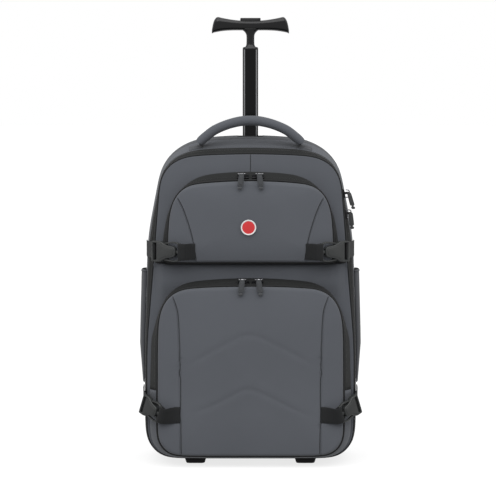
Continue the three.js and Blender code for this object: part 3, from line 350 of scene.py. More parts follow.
def crease(obj, lines, depth, width, swell, facing=(0, -1, 0), passes=(9, 5.5, 3.2), fade=0.0):
    """Presses seams into a surface that faces one way. The mesh is refined along the seams, whose points are
    places in the plane across that way, and the cloth swells beside them."""
    out = np.array(facing, float)
    plane = [i for i in range(3) if abs(out[i]) < 0.5]
    lines = [smooth_path(line, 6) for line in lines]
    mesh = bmesh.new()
    mesh.from_mesh(obj.data)
    for reach in passes:
        edges = list(mesh.edges)
        middles = np.array([(e.verts[0].co + e.verts[1].co) / 2 for e in edges]) / MM - (0, SHIFT_Y, 0)
        near = distances(middles[:, plane], lines) < reach
        front = np.array([e.link_faces[0].normal.dot(Vector(facing)) > 0.35 if e.link_faces else False
                          for e in edges])
        long = np.array([e.calc_length() > 0.0009 for e in edges])
        chosen = [e for e, use in zip(edges, near & front & long) if use]
        bmesh.ops.subdivide_edges(mesh, edges=chosen, cuts=1, use_grid_fill=True)
        mesh.normal_update()
    points = np.array([v.co for v in mesh.verts]) / MM - (0, SHIFT_Y, 0)
    d = distances(points[:, plane], lines)
    ends = np.ones(len(points))
    if fade:
        tips = np.array([p for line in lines for p in (line[0], line[-1])])
        off = np.min(np.linalg.norm(points[:, None, plane] - tips[None], axis=2), axis=1)
        ends = np.clip(off / fade, 0, 1)
    beside_seam = swell * np.exp(-(((d - 2.6 * width) / (1.7 * width)) ** 2))
    in_seam = depth * np.exp(-((d / width) ** 2))
    lift = (beside_seam - in_seam) * ends
    for v, move in zip(mesh.verts, lift):
        if abs(move) > 0.004 and v.normal.dot(Vector(facing)) > 0.2:
            v.co += Vector(out * move * MM)
    mesh.to_mesh(obj.data)
    mesh.free()
    return obj


def press(obj, shape):
    """Moves a mesh's points: shape gives the new places, in millimetres, from the old ones."""
    points = np.array([v.co for v in obj.data.vertices]) / MM - (0, SHIFT_Y, 0)
    obj.data.vertices.foreach_set("co", metres(shape(points)).ravel())
    obj.data.update()
    return obj


def surface_points(obj, points):
    """Where points fall on a piece, and which way it faces there."""
    places, normals = [], []
    for point in metres(points):
        found, place, normal, _ = obj.closest_point_on_mesh(Vector(point))
        places.append(millimetres(place) if found else millimetres(point))
        normals.append(np.array(normal))
    return np.array(places), np.array(normals)


STITCH = ((-1, 0, -0.3), (-0.55, 0.8, 0.45), (-0.55, -0.8, 0.45), (0.55, 0.8, 0.45), (0.55, -0.8, 0.45), (1, 0, -0.3),
          (0, 0, 1))
STITCH_FACES = ((0, 2, 6), (0, 6, 1), (1, 6, 3), (3, 6, 5), (5, 6, 4), (4, 6, 2), (0, 1, 3, 5), (0, 5, 4, 2))


def repeated(name, shape, faces, places, along, up, size, material, **place):
    """One small form repeated in a mesh: its X lies along, its Z up, and size scales its three axes."""
    side = np.cross(up, along)
    side /= np.linalg.norm(side, axis=1)[:, None]
    top = np.cross(along, side)
    form = np.asarray(shape, float) * size
    points = (places[:, None, :] + form[None, :, 0:1] * along[:, None, :] + form[None, :, 1:2] * side[:, None, :]
              + form[None, :, 2:3] * top[:, None, :]).reshape(-1, 3)
    all_faces = [tuple(i + n * len(form) for i in face) for n in range(len(places)) for face in faces]
    return finished(name, points, all_faces, None, material, **place)


def stitching(name, obj, path, material, pitch=3.4, closed=False, **place):
    """A row of thread stitches on a piece, along a path that runs on or near it."""
    route = evenly(path, pitch, closed)
    places, normals = surface_points(obj, route)
    return repeated(name, STITCH, STITCH_FACES, places, tangents(places, closed), normals, (pitch * 0.36, 0.36, 0.26),
                    material, slot="fabric", **place)


TOOTH = ((-1, -1, -1), (1, -1, -1), (1, 1, -1), (-1, 1, -1), (-0.7, -0.8, 1), (0.7, -0.8, 1), (0.7, 0.8, 1),
         (-0.7, 0.8, 1))
TOOTH_FACES = ((3, 2, 1, 0), (4, 5, 6, 7), (0, 1, 5, 4), (1, 2, 6, 5), (2, 3, 7, 6), (3, 0, 4, 7))


# Materials


class Flow:
    """A socket of a material. Arithmetic on it adds Math nodes."""

    def __init__(self, tree, socket):
        self.tree = tree
        self.socket = socket

    def maths(self, operation, *values):
        node = self.tree.nodes.new("ShaderNodeMath")
        node.operation = operation
        for slot, value in zip(node.inputs, values):
            feed(self.tree, slot, value)
        return Flow(self.tree, node.outputs[0])

    def __add__(self, other):
        return self.maths("ADD", self, other)

    def __radd__(self, other):
        return self.maths("ADD", other, self)

    def __sub__(self, other):
        return self.maths("SUBTRACT", self, other)

    def __rsub__(self, other):
        return self.maths("SUBTRACT", other, self)

    def __mul__(self, other):
        return self.maths("MULTIPLY", self, other)

    def __rmul__(self, other):
        return self.maths("MULTIPLY", other, self)

    def __pow__(self, other):
        return self.maths("POWER", self, other)


def feed(tree, slot, value):
    if isinstance(value, Flow):
        tree.links.new(value.socket, slot)
    elif slot.type == "RGBA" and len(value) == 3:
        slot.default_value = (*value, 1)
    else:
        slot.default_value = value


class Finish:
    """A material being made: node() adds a node, and shade() sets the surface's own values."""

    def __init__(self, name):
        self.material = bpy.data.materials.new(name)
        self.material.use_nodes = True
        self.tree = self.material.node_tree
        self.surface = self.tree.nodes["Principled BSDF"]

    def node(self, kind, settings=None, inputs=None, output=0):
        node = self.tree.nodes.new(kind)
        for name, value in (settings or {}).items():
            if name == "stops":
                for stop, (position, color) in zip(node.color_ramp.elements, value):
                    stop.position = position
                    stop.color = (*color, 1)
            else:
                setattr(node, name, value)
        for name, value in (inputs or {}).items():
            feed(self.tree, node.inputs[name], value)
        return Flow(self.tree, node.outputs[output])

    def places(self):
        return self.node("ShaderNodeTexCoord", output="Object")

    def cloth_places(self):
        return self.node("ShaderNodeUVMap", {"uv_map": "UVMap"})

    def noise(self, where, scale, detail=2.0, rough=0.5):
        return self.node("ShaderNodeTexNoise", None,
                         {"Vector": where, "Scale": scale, "Detail": detail, "Roughness": rough}, "Fac")

    def axis(self, where, index):
        return self.node("ShaderNodeSeparateXYZ", None, {"Vector": where}, index)

    def mixed(self, share, first, second):
        """A colour between two, by a share."""
        node = self.tree.nodes.new("ShaderNodeMix")
        node.data_type = "RGBA"
        feed(self.tree, node.inputs["Factor"], share)
        feed(self.tree, node.inputs[6], first)
        feed(self.tree, node.inputs[7], second)
        return Flow(self.tree, node.outputs[2])

    def bump(self, height, distance, strength=1.0):
        return self.node("ShaderNodeBump", None,
                         {"Height": height, "Distance": distance, "Strength": strength}, "Normal")

    def shade(self, **values):
        for name, value in values.items():
            feed(self.tree, self.surface.inputs[name.replace("_", " ")], value)
        return self.material


LIT = 2.45  # how much brighter than white paper under the plain sky the studio's lamps make an upright face


def tone(value):
    """The paint that shows as a screen colour, 0 to 255, on a face in the studio's light."""
    return tuple((v / 255 / 12.92 if v <= 10 else ((v / 255 + 0.055) / 1.055) ** 2.4) / LIT for v in value)


def scaled(color, share):
    return tuple(c * share for c in color)


def woven(name, color, pitch, roughness=0.85, depth=0.00012, sheen=0.05, ribs=False, gloss=0.12):
    """Cloth woven at a pitch in metres: a plain weave, or ribs across a webbing."""
    made = Finish(name)
    where = made.cloth_places()
    turn = 2 * math.pi / pitch
    u = made.axis(where, "X")
    v = made.axis(where, "Y")
    if ribs:
        warp = (u * (turn * 0.5)).maths("SINE", u * (turn * 0.5))
        weft = (v * turn).maths("SINE", v * turn)
        height = warp * 0.75 + weft * 0.25
    else:
        warp = (u * turn).maths("SINE", u * turn)
        weft = (v * turn).maths("SINE", v * turn)
        height = warp * weft
    fleck = made.noise(where, 900, 1.0)
    patch = made.noise(made.places(), 9, 3.0)
    shade = fleck * 0.55 + patch * 0.45
    cloth = made.mixed(shade, scaled(color, 0.8), scaled(color, 1.2))
    rough = (roughness - 0.08) + fleck * 0.16
    return made.shade(Base_Color=cloth, Roughness=rough, Sheen_Weight=sheen, Sheen_Roughness=0.5,
                      Specular_IOR_Level=gloss, Normal=made.bump(height * 0.5 + fleck * 0.6, depth, 0.5))


def moulded(name, color, roughness=0.45, grain=0.00005, scale=2200, coat=0.0, gloss=0.2):
    """Moulded plastic: a fine spark-eroded grain, with handling marks in its gloss."""
    made = Finish(name)
    where = made.places()
    grain_height = made.noise(where, scale, 2.0)
    wear = made.noise(where, 60, 4.0, 0.65)
    body = made.mixed(wear, scaled(color, 0.88), scaled(color, 1.14))
    rough = (roughness - 0.06) + wear * 0.12
    return made.shade(Base_Color=body, Roughness=rough, Coat_Weight=coat, Coat_Roughness=0.12,
                      Specular_IOR_Level=gloss, Normal=made.bump(grain_height, grain, 0.45))


def anodised(name, color, bright, bevel, width):
    """A drawn and anodised tube: fine lines along it, and a pale line painted at a distance from its middle on
    each side, a painted highlight on its rounded corners. Distances are in metres."""
    made = Finish(name)
    where = made.places()
    drawn = made.node("ShaderNodeMapping", None, {"Vector": where, "Scale": (1, 1, 0.012)})
    lines = made.noise(drawn, 2600, 3.0, 0.6)
    smears = made.noise(where, 30, 3.0)
    x = made.axis(where, "X")
    off = x.maths("ABSOLUTE", x) - bevel
    # painted highlight: a pale line in the colour at each rounded corner, standing in for the lamps' reflection there
    painted_highlight = made.node("ShaderNodeMapRange", {"clamp": True},
                       {"Value": off.maths("ABSOLUTE", off), "From Min": 0, "From Max": width,
                        "To Min": 1, "To Max": 0})
    drawn_color = made.mixed(lines, scaled(color, 0.8), scaled(color, 1.25))
    body = made.mixed(painted_highlight, drawn_color, bright)
    rough = 0.14 + lines * 0.06 + smears * 0.06
    return made.shade(Base_Color=body, Roughness=rough, Metallic=0.2, Specular_IOR_Level=0.15,
                      Normal=made.bump(lines, 0.00002, 0.4))


def rubbery(name, color):
    made = Finish(name)
    where = made.places()
    dust = made.noise(where, 140, 4.0, 0.7)
    pits = made.noise(where, 1500, 2.0)
    body = made.mixed(dust, scaled(color, 0.75), scaled(color, 1.5))
    rough = 0.78 + dust * 0.16
    return made.shade(Base_Color=body, Roughness=rough, Specular_IOR_Level=0.15,
                      Normal=made.bump(pits, 0.00006, 0.6))


def bright_metal(name, color):
    made = Finish(name)
    where = made.places()
    scratches = made.noise(made.node("ShaderNodeMapping", None, {"Vector": where, "Scale": (1, 1, 0.15)}), 1800, 3.0)
    body = made.mixed(scratches, scaled(color, 0.8), scaled(color, 1.1))
    rough = 0.22 + scratches * 0.16
    return made.shade(Base_Color=body, Roughness=rough, Metallic=0.9, Normal=made.bump(scratches, 0.00002, 0.3))


def spacer_mesh(name, color):
    """Airflow mesh: rows of small round holes knitted into a springy cloth, painted darker inside as painted shade of
    their depth.
    """
    made = Finish(name)
    where = made.places()
    turn = 2 * math.pi / 0.0036
    x = made.axis(where, "X")
    z = made.axis(where, "Z")
    across = (x * turn).maths("SINE", x * turn)
    up = (z * turn).maths("SINE", z * turn)
    cells = across * up
    hole = made.node("ShaderNodeMapRange", {"clamp": True},
                     {"Value": cells, "From Min": 0.1, "From Max": 0.75, "To Min": 0, "To Max": 1})
    fleck = made.noise(where, 700, 2.0)
    # painted shade: the cloth is painted darker in the holes, for the shade in their depth
    cloth = made.mixed(hole, scaled(color, 1.15), scaled(color, 0.35))
    rough = 0.85 + fleck * 0.1
    return made.shade(Base_Color=cloth, Roughness=rough, Sheen_Weight=0.06, Specular_IOR_Level=0.12,
                      Normal=made.bump(fleck * 0.3 - hole, 0.0006, 0.7))


GREY = tone((88, 91, 97))
REAR_GREY = tone((78, 80, 84))
BAND_BLACK = tone((37, 38, 38))
FABRIC = woven("charcoal_polyester", GREY, 0.0011)
REAR_FABRIC = woven("charcoal_polyester_rear", REAR_GREY, 0.0011)
BAND = woven("black_zip_tape", BAND_BLACK, 0.0012, 0.8, 0.00012, 0.02, gloss=0.08)
PIPING = woven("black_piping_cloth", tone((24, 25, 26)), 0.001, 0.6, 0.00008, 0.02, gloss=0.12)
WEBBING = woven("black_webbing", tone((34, 35, 36)), 0.0018, 0.75, 0.0003, 0.03, ribs=True, gloss=0.08)
COIL = moulded("black_zip_coil", tone((30, 31, 32)), 0.35)
THREAD = woven("grey_thread", tone((84, 87, 92)), 0.0005, 0.7)
DARK_THREAD = woven("black_thread", tone((24, 25, 26)), 0.0005, 0.7)
PALE_THREAD = woven("pale_grey_thread", tone((128, 130, 134)), 0.0005, 0.7)
PLASTIC = moulded("grey_black_buckle_plastic", tone((47, 49, 49)), 0.42, gloss=0.22)
HOUSING = moulded("black_housing_plastic", tone((32, 33, 34)), 0.5)
GRIP = moulded("satin_black_grip", tone((18, 18, 20)), 0.2, 0.00002, 2600, 0.1, 0.16)
BUTTON = moulded("black_button", tone((20, 20, 22)), 0.4)
POLE_HIGHLIGHT_OFF = 0.0094  # from the tube's middle to the middle of each painted highlight line on its rounded corners, in metres
# the width of each painted highlight line, in metres
POLE_HIGHLIGHT_WIDTH = 0.0013
# the pole's two pale lines are painted highlights in its colour, not reflections
POLE = anodised("black_anodised_tube", tone((12, 12, 13)), tone((150, 151, 153)), POLE_HIGHLIGHT_OFF, POLE_HIGHLIGHT_WIDTH)
METAL = bright_metal("black_nickel_slider", tone((46, 46, 48)))
BRIDGE = bright_metal("nickel_bridge", (0.22, 0.22, 0.23))
PULL = moulded("grey_pull_plastic", tone((64, 66, 69)), 0.45)
DARK_PULL = moulded("black_pull_rubber", tone((46, 47, 48)), 0.55)
RUBBER = rubbery("black_rubber", tone((26, 26, 27)))
HUB = moulded("grey_wheel_hub", tone((96, 98, 100)), 0.4)
MESH = spacer_mesh("black_spacer_mesh", tone((48, 50, 52)))
BADGE_RED = moulded("red_enamel", tone((206, 24, 30)), 0.3, 0.00001, 900, 0.6)
BADGE_RIM = moulded("pale_badge_rim", tone((226, 224, 224)), 0.35)

# The bag's shell

rear_ring = outline(REAR)
front_ring = outline(FRONT)


def lip_line():
    """The back shell's front edge: the main zip's tape shows more at the sides than over the top."""
    rise = np.clip((rear_ring[:, 1:] - 385) / 80, 0, 1)
    share = between(LIP_BLEND_SIDE, LIP_BLEND_TOP, rise * rise * (3 - 2 * rise))
    return between(rear_ring, front_ring, share)


lip_ring = lip_line()
SHELL_SWELL = 0.8
SHELL_SEAM = 0.68  # where the rear cloth begins, as a share of the way from the lip to the crest


def shell_rows():
    """Rows of the back shell's outer face, from its lip to the middle of the back."""
    lip = behind_face(lip_ring, LIP_DEPTH)
    crest = at_depth(rear_ring, CREST_Y)
    shares = [0, 0.03, 0.12, 0.25, 0.38, 0.5, 0.6, 0.655, 0.672, SHELL_SEAM, 0.688, 0.705, 0.76, 0.86, 0.95]
    pressed = {0.672: -0.3, SHELL_SEAM: -0.9, 0.688: -0.3}
    rows = []
    for share in shares:
        row = between(lip, crest, share)
        swell = SHELL_SWELL * math.sin(math.pi * share) + pressed.get(share, 0)
        flat = grown(row[:, [0, 2]], swell)
        rows.append(np.column_stack((flat[:, 0], row[:, 1], flat[:, 1])))
    edge = BACK_Y - CREST_Y
    for turn in np.linspace(0, math.pi / 2, 9):
        inset = edge * 0.62 * (1 - math.cos(turn)) ** 1.25
        rows.append(at_depth(grown(rear_ring, -inset), CREST_Y + edge * math.sin(turn)))
    last = rows[-1]
    middle = np.array((0, BACK_Y, 256.0))
    for share in (0.93, 0.85, 0.7, 0.5, 0.3, 0.12):
        rows.append(middle + (last - middle) * share)
    return rows


def solidified(obj, thickness):
    """Gives an open shell its wall, inwards."""
    wall = obj.modifiers.new("wall", "SOLIDIFY")
    wall.thickness = thickness * MM
    wall.offset = -1
    wall.use_even_offset = False
    apply_modifiers(obj)
    return obj


def apply_modifiers(obj):
    only(obj)
    for modifier in list(obj.modifiers):
        bpy.ops.object.modifier_apply(modifier=modifier.name)


def only(obj):
    """Selects one object alone and makes it active."""
    for other in bpy.context.view_layer.objects:
        if other.select_get():
            other.select_set(False)
    obj.hide_viewport = False
    obj.select_set(True)
    bpy.context.view_layer.objects.active = obj


def hollowed(obj, *cutters):
    """Cuts holes with closed meshes, which are then removed."""
    for cutter in cutters:
        cut = obj.modifiers.new("cut", "BOOLEAN")
        cut.operation = "DIFFERENCE"
        cut.solver = "EXACT"
        cut.object = cutter
        apply_modifiers(obj)
        bpy.data.objects.remove(cutter)
    return obj


WHEEL_X, WHEEL_Y, WHEEL_RADIUS, WHEEL_WIDTH = 100.0, 66.0, 30.0, 22.0
HOUSING_HALF = WHEEL_WIDTH / 2 + 2 + 3.5
HOUSING_RADIUS = WHEEL_RADIUS + 4 + 3.5


def housing_cutter(side):
    """The space that a wheel housing takes from the shell."""
    grow = SEAM_GAP + 0.2
    r = HOUSING_RADIUS + grow
    back, low = BACK_Y + 12, BAG_BOTTOM - 12
    turn = np.linspace(math.pi / 2, math.pi, 14)
    side_view = [(WHEEL_Y - r, low), (back, low), (back, WHEEL_RADIUS + r)]
    side_view += [(WHEEL_Y + r * math.cos(a), WHEEL_RADIUS + r * math.sin(a)) for a in turn]
    half = HOUSING_HALF + grow
    rows = [[(side * WHEEL_X + x, y, z) for y, z in side_view] for x in (-half, half)]
    return loft("housing_space", rows, HOUSING, tips=("first", "last"))


COLLAR_SEAT_Z = BAG_BOTTOM + 498.5 + SEAM_GAP


def collar_cutter():
    half_x, half_y = 12.25 + 0.4 + 6 + 0.5, 8 + 0.4 + 5 + 0.5
    corners = [(-half_x, -half_y), (half_x, -half_y), (half_x, half_y), (-half_x, half_y)]
    rows = [[(x, POLE_Y + y, z) for x, y in corners] for z in (COLLAR_SEAT_Z - 60, COLLAR_SEAT_Z + 12)]
    return loft("collar_space", rows, HOUSING, tips=("first", "last"))


def back_shell():
    shell = loft("back_shell_cloth", shell_rows(), FABRIC, tips=("last",), slot="fabric")
    solidified(shell, FABRIC_WALL * 0.7)
    hollowed(shell, collar_cutter(), housing_cutter(1), housing_cutter(-1))
    shell.data.materials.append(REAR_FABRIC)
    for face in shell.data.polygons:
        z = face.center.z / MM
        start = face_y(z) + LIP_DEPTH
        seam_y = start + (CREST_Y - start) * SHELL_SEAM
        face.material_index = int(face.center.y / MM - SHIFT_Y > seam_y)
    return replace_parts(shell, "back_shell")


def ring_seam(share, out=0.4):
    """A line round the back shell, at a share of the way from its lip to its crest."""
    row = between(behind_face(lip_ring, LIP_DEPTH), at_depth(rear_ring, CREST_Y), share)
    flat = grown(row[:, [0, 2]], out + SHELL_SWELL * math.sin(math.pi * share))
    return np.column_stack((flat[:, 0], row[:, 1], flat[:, 1]))


shell = back_shell()
stitching("shell_seam_stitches", shell, ring_seam(SHELL_SEAM - 0.045), PALE_THREAD, closed=True)
stitching("shell_lip_stitches", shell, ring_seam(0.05), DARK_THREAD, closed=True)

# Zip bands, pipings and panels


def band_point_ring(base, front, stand, height, proud, offset=0.0):
    ring = grown(between(base, front, height / stand), proud)
    return behind_face(ring, offset - height)


def zip_profile(centre):
    """A zip tape's cross-section: shares of its width, and how far it stands out, with the closed zip's two lips
    and the chain between them at its centre."""
    lip = 0.055
    return [(0, 0), (0.08, 0.35), (0.2, 0.6), (centre - 0.13, 0.75), (centre - lip - 0.02, 0.8), (centre - lip, 1.15),
            (centre - 0.02, 1.05), (centre - 0.012, 0.2), (centre + 0.012, 0.2), (centre + 0.02, 1.05),
            (centre + lip, 1.15), (centre + lip + 0.02, 0.8), (min(centre + 0.13, 0.93), 0.75), (0.96, 0.4), (1, 0)]


def zip_band(name, base, front, stand, low, high, centre, node, offset=0.0, span=None, material=None, profile=None):
    """A band of cloth from the seat to the piping, with a wall."""
    outer = [band_point_ring(base, front, stand, low + (high - low) * share, proud, offset)
             for share, proud in (profile or zip_profile(centre))]
    inner = [band_point_ring(base, front, stand, height, -2.2, offset) for height in (high, low)]
    rows = outer + inner
    whole = span is None
    if not whole:
        rows = [row[span] for row in rows]
    band = loft(name, rows, material or BAND, around=whole, stacked=True, tips=() if whole else ("sides",),
                slot="band")
    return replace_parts(band, node)


def zip_chain(name, base, front, stand, low, high, centre, offset=0.0, span=None):
    """The closed coil: small teeth from both sides, at a pitch of 1.6 mm."""
    height = low + (high - low) * centre
    line = band_point_ring(base, front, stand, height, 0.55, offset)
    outer = band_point_ring(base, front, stand, height, 3, offset)
    if span is not None:
        line, outer = line[span], outer[span]
    both = evenly(np.hstack((line, outer)), 1.6, span is None)
    places, out = both[:, :3], both[:, 3:] - both[:, :3]
    out[:, 1] -= 0.6
    out /= np.linalg.norm(out, axis=1)[:, None]
    along = tangents(places, span is None)
    side = np.cross(out, along)
    places = places + side * np.where(np.arange(len(places)) % 2, 0.32, -0.32)[:, None]
    return repeated(name, TOOTH, TOOTH_FACES, places, along, out, (0.55, 1.15, 0.5), COIL, slot="band")


def piping_cord(name, base, front, stand, node, offset=0.0):
    middle = stand - PANEL_RIM - SEAM_GAP - PIPING_RADIUS
    ring = band_point_ring(base, front, stand, middle, PIPING_RADIUS * 0.25, offset)
    cord = tube(name, ring, PIPING_RADIUS, PIPING, 12, True, slot="piping")
    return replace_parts(cord, node)


def swell_at(share):
    return 1 - np.abs(share / 0.975) ** 3.4


def panel(name, base, front, stand, dome, centre, node, offset=0.0, drop=0.0, edge=0.0):
    """A sewn panel: its turned rim, a soft edge and a face that swells, a little fuller below its middle. The face
    falls away by edge towards its rim."""
    def rim(height, inset):
        return band_point_ring(base, front, stand, height, -inset, offset)

    def face(share, depth):
        ring = np.array((0, centre)) + (front - (0, centre)) * share
        belly = 1 + drop * np.clip((centre - ring[:, 1]) / 120, -1, 1)
        rise = dome * swell_at(share) * belly if share < 0.975 else np.zeros(len(ring))
        rise = rise - edge * max(0, (share - 0.8) / 0.2) ** 2
        return np.column_stack((ring[:, 0], face_y(ring[:, 1]) + offset - depth - rise, ring[:, 1]))

    back = stand - PANEL_RIM
    turned = (stand - edge * 0.9 - back) / PANEL_RIM
    outside = [rim(back, 0), rim(back + 1.6 * turned, 0.1), rim(back + 2.6 * turned, 0.2),
               rim(back + 3.8 * turned, 0.7), rim(back + 4.6 * turned, 1.6), face(0.975, stand)]
    shares = (0.955, 0.93, 0.89, 0.84, 0.78, 0.71, 0.64, 0.57, 0.5, 0.43, 0.36, 0.29, 0.22, 0.15, 0.08)
    outside += [face(share, stand) for share in shares]
    made = loft(name, outside, FABRIC, tips=("last",), slot="fabric")
    solidified(made, FABRIC_WALL * 0.8)
    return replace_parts(made, node)


MAIN = (lip_ring, front_ring, LIP_DEPTH)
zip_band("main_zip_tape", *MAIN, SEAM_GAP, MAIN_ZIP_WIDTH, 0.5, "main_zip_band", LIP_DEPTH)
zip_chain("main_zip_chain", *MAIN, SEAM_GAP, MAIN_ZIP_WIDTH, 0.5, LIP_DEPTH)
piping_cord("main_piping_cord", *MAIN, "main_piping", LIP_DEPTH)
front = panel("front_cloth", *MAIN, 0, 262, "front_panel", LIP_DEPTH, edge=4.6)

WAIST_Z = 310.0
WAIST_HALF = 146.5


def eased_share(values):
    share = np.clip(values, 0, 1)
    return share * share * (3 - 2 * share)


# The height and how far the fold stands out there
WAIST_FOLD = [(309.6, -1.6), (309.5, 2.2), (309, 5), (307.8, 7), (305.6, 8.2), (302, 9), (297, 9.7), (290, 10.2),
              (283, 10), (276, 8.8), (268, 6.6), (258, 3.8), (248, 1.6), (238, 0.2), (230, -0.6)]


WAIST_FOLD_HALF = 149.0
WAIST_FOLD_FADE = 16.0  # over which its ends sink into the cloth
WAIST_FOLD_SUNK = 0.8


def waist_fold():
    """Below the waist seam the cloth stands out in a soft roll, which dies away downwards and at the sides."""
    rows = []
    for z, stand in smooth_path(WAIST_FOLD, 3):
        row = []
        for x in np.linspace(-WAIST_FOLD_HALF, WAIST_FOLD_HALF, 120):
            place = metres(np.array(((x, face_y(z) - 40, z),)))[0]
            hit, found, _, _ = front.ray_cast(Vector(place), Vector((0, 1, 0)))
            cloth = millimetres(found)[1] if hit else face_y(z) + 2
            swell = eased_share((WAIST_FOLD_HALF - abs(x)) / WAIST_FOLD_FADE)
            row.append((x, cloth - (stand + WAIST_FOLD_SUNK) * swell + WAIST_FOLD_SUNK, z))
        rows.append(np.array(row))
    fold = loft("waist_fold_cloth", rows, FABRIC, around=False, slot="fabric")
    solidified(fold, 0.6)
    return fold


waist_fold()


def waist_piping():
    x = np.linspace(-WAIST_HALF, WAIST_HALF, 90)
    z = WAIST_Z + 1.6 * (x / WAIST_HALF) ** 2
    y = face_y(z) - 0.7 + 3.2 * np.clip((np.abs(x) - 141) / 6, 0, 1) ** 2
    return tube("waist_piping_cord", np.column_stack((x, y, z)), 1.5, PIPING, 12, slot="piping")


waist_piping()

lower_base, lower_front = outline(LOWER_SEAT), outline(LOWER_PANEL)
upper_base, upper_front = outline(UPPER_SEAT), outline(UPPER_PANEL)
COUNT = len(lower_base)
OVER_TOP = np.arange(HIP, COUNT - HIP + 1)
UNDER = np.concatenate((np.arange(COUNT - HIP, COUNT), np.arange(0, HIP + 1)))


def band_top(stand):
    return stand - PANEL_RIM - 2 * (PIPING_RADIUS + SEAM_GAP)


LOWER = (lower_base, lower_front, LOWER_DEPTH)
UPPER = (upper_base, upper_front, UPPER_DEPTH)
zip_band("lower_zip_tape", *LOWER, SEAM_GAP, band_top(LOWER_DEPTH), 0.74, "lower_zip_band", span=OVER_TOP)
zip_chain("lower_zip_chain", *LOWER, SEAM_GAP, band_top(LOWER_DEPTH), 0.74, span=OVER_TOP)
SOFT_SIDE = [(0, 0), (0.03, 0.3), (0.2, 1.0), (0.4, 1.5), (0.6, 1.5), (0.8, 1.0), (0.97, 0.3), (1, 0)]
gusset = zip_band("lower_gusset_cloth", *LOWER, SEAM_GAP, band_top(LOWER_DEPTH), 0.5, "lower_pocket_gusset",
                  span=UNDER, material=FABRIC, profile=SOFT_SIDE)
piping_cord("lower_piping_cord", *LOWER, "lower_piping")
zip_band("upper_zip_tape", *UPPER, SEAM_GAP, band_top(UPPER_DEPTH), 0.72, "upper_zip_band")
zip_chain("upper_zip_chain", *UPPER, SEAM_GAP, band_top(UPPER_DEPTH), 0.72)
piping_cord("upper_piping_cord", *UPPER, "upper_piping")

LOWER_SEAM = [(-124, 268), (-120, 262), (-116, 252), (-112.5, 240), (-111, 225), (-109.8, 200), (-108.6, 150),
              (-107.8, 90), (-107.3, 50), (-107, 21)]
UPPER_SEAM = [(-113, 412), (-109.5, 406), (-104, 395), (-97.5, 377), (-91.5, 357), (-87, 336), (-84, 315)]
CHEVRONS = [[(-99, 155), (-60, 178), (-20, 199), (-8, 203), (4, 203), (22, 197), (60, 178), (99, 156)],
            [(-90, 84), (-50, 100), (-16, 118), (-6, 121), (4, 120), (30, 109), (62, 93), (94, 79)]]


def mirrored(line):
    return [(-x, z) for x, z in line]


def lower_pocket():
    made = panel("lower_pocket_cloth", *LOWER, POCKET_DOME, 147, "lower_pocket_panel", drop=0.12)
    crease(made, CHEVRONS, 0.45, 3.4, 0.25, passes=(12, 8), fade=30)
    crease(made, [LOWER_SEAM, mirrored(LOWER_SEAM)], 0.95, 0.75, 0.4)
    return made


def upper_pocket():
    made = panel("upper_pocket_cloth", *UPPER, POCKET_DOME, 374, "upper_pocket_panel", drop=0.1)
    crease(made, [UPPER_SEAM, mirrored(UPPER_SEAM)], 0.95, 0.75, 0.4)
    return made


lower_pocket_face = lower_pocket()
upper_pocket_face = upper_pocket()


def on_front(line, depth):
    """A line of X and Z laid in front of the bag's face."""
    points = smooth_path(line, 6)
    return np.column_stack((points[:, 0], face_y(points[:, 1]) - depth, points[:, 1]))


def seam_shade_cord(name, obj, line, depth):
    """A thin dark cord laid at the bottom of a sewn seam: painted shade of its crease, in black thread's colour."""
    places, normals = surface_points(obj, evenly(on_front(line, depth), 2.0))
    return tube(name, eased(places + normals * 0.15, 2.0, 8), 0.45, DARK_THREAD, 8, slot="piping")


# the seams' dark lines are painted shade: thin dark cords laid where their creases fall in shade
seam_shade_cord("front_centre_seam_shade", front, [(0, 446), (0, 460), (0, 480)], 4)
for side, turned in (("left", 1), ("right", -1)):
    seam_shade_cord(f"lower_pocket_seam_shade_{side}", lower_pocket_face, [(turned * x, z) for x, z in LOWER_SEAM],
              LOWER_DEPTH + 8)
    seam_shade_cord(f"upper_pocket_seam_shade_{side}", upper_pocket_face, [(turned * x, z) for x, z in UPPER_SEAM],
              UPPER_DEPTH + 8)
    seam = [(turned * (x + 3.2), z) for x, z in LOWER_SEAM[2:]]
    stitching(f"lower_seam_stitches_{side}", lower_pocket_face, on_front(seam, LOWER_DEPTH + 8), THREAD)
    seam = [(turned * (x + 3.0), z) for x, z in UPPER_SEAM[1:]]
    stitching(f"upper_seam_stitches_{side}", upper_pocket_face, on_front(seam, UPPER_DEPTH + 8), THREAD)

# Side pockets

SIDE_BOTTOM, SIDE_TOP, SIDE_BACK, SIDE_FRONT, SIDE_BULGE = 121.0, 297.0, 48.0, 4.0, 6.0


def shell_x(y, z):
    """How far the bag's side stands out at a place."""
    hit, place, _, _ = shell.ray_cast(Vector(metres((300.0, y, z))), Vector((-1, 0, 0)))
    return place.x / MM if hit else REAR["half"]


def side_pocket_rows(off, heights, depths):
    rows = []
    for high in heights:
        z = SIDE_BOTTOM + (SIDE_TOP - SIDE_BOTTOM) * high
        gathered = min(1, 0.12 + 2.6 * high) if high < 0.34 else 1 - 0.06 * max(0, high - 0.93) / 0.07
        row = []
        for deep in depths:
            y = SIDE_BACK + (SIDE_FRONT - SIDE_BACK) * deep
            belly = math.sin(math.pi * deep) ** 0.42 if 0 < deep < 1 else 0
            pleat = 0.45 * math.sin(deep * math.pi * 7) * (1 - min(1, high / 0.3)) + 0.3 * math.sin(
                deep * math.pi * 9 + 1) * max(0, (high - 0.8) / 0.2)
            x = shell_x(y, z) + off + (1 + SIDE_BULGE * gathered + pleat) * belly
            row.append((x, y, z))
        rows.append(np.array(row))
    return rows


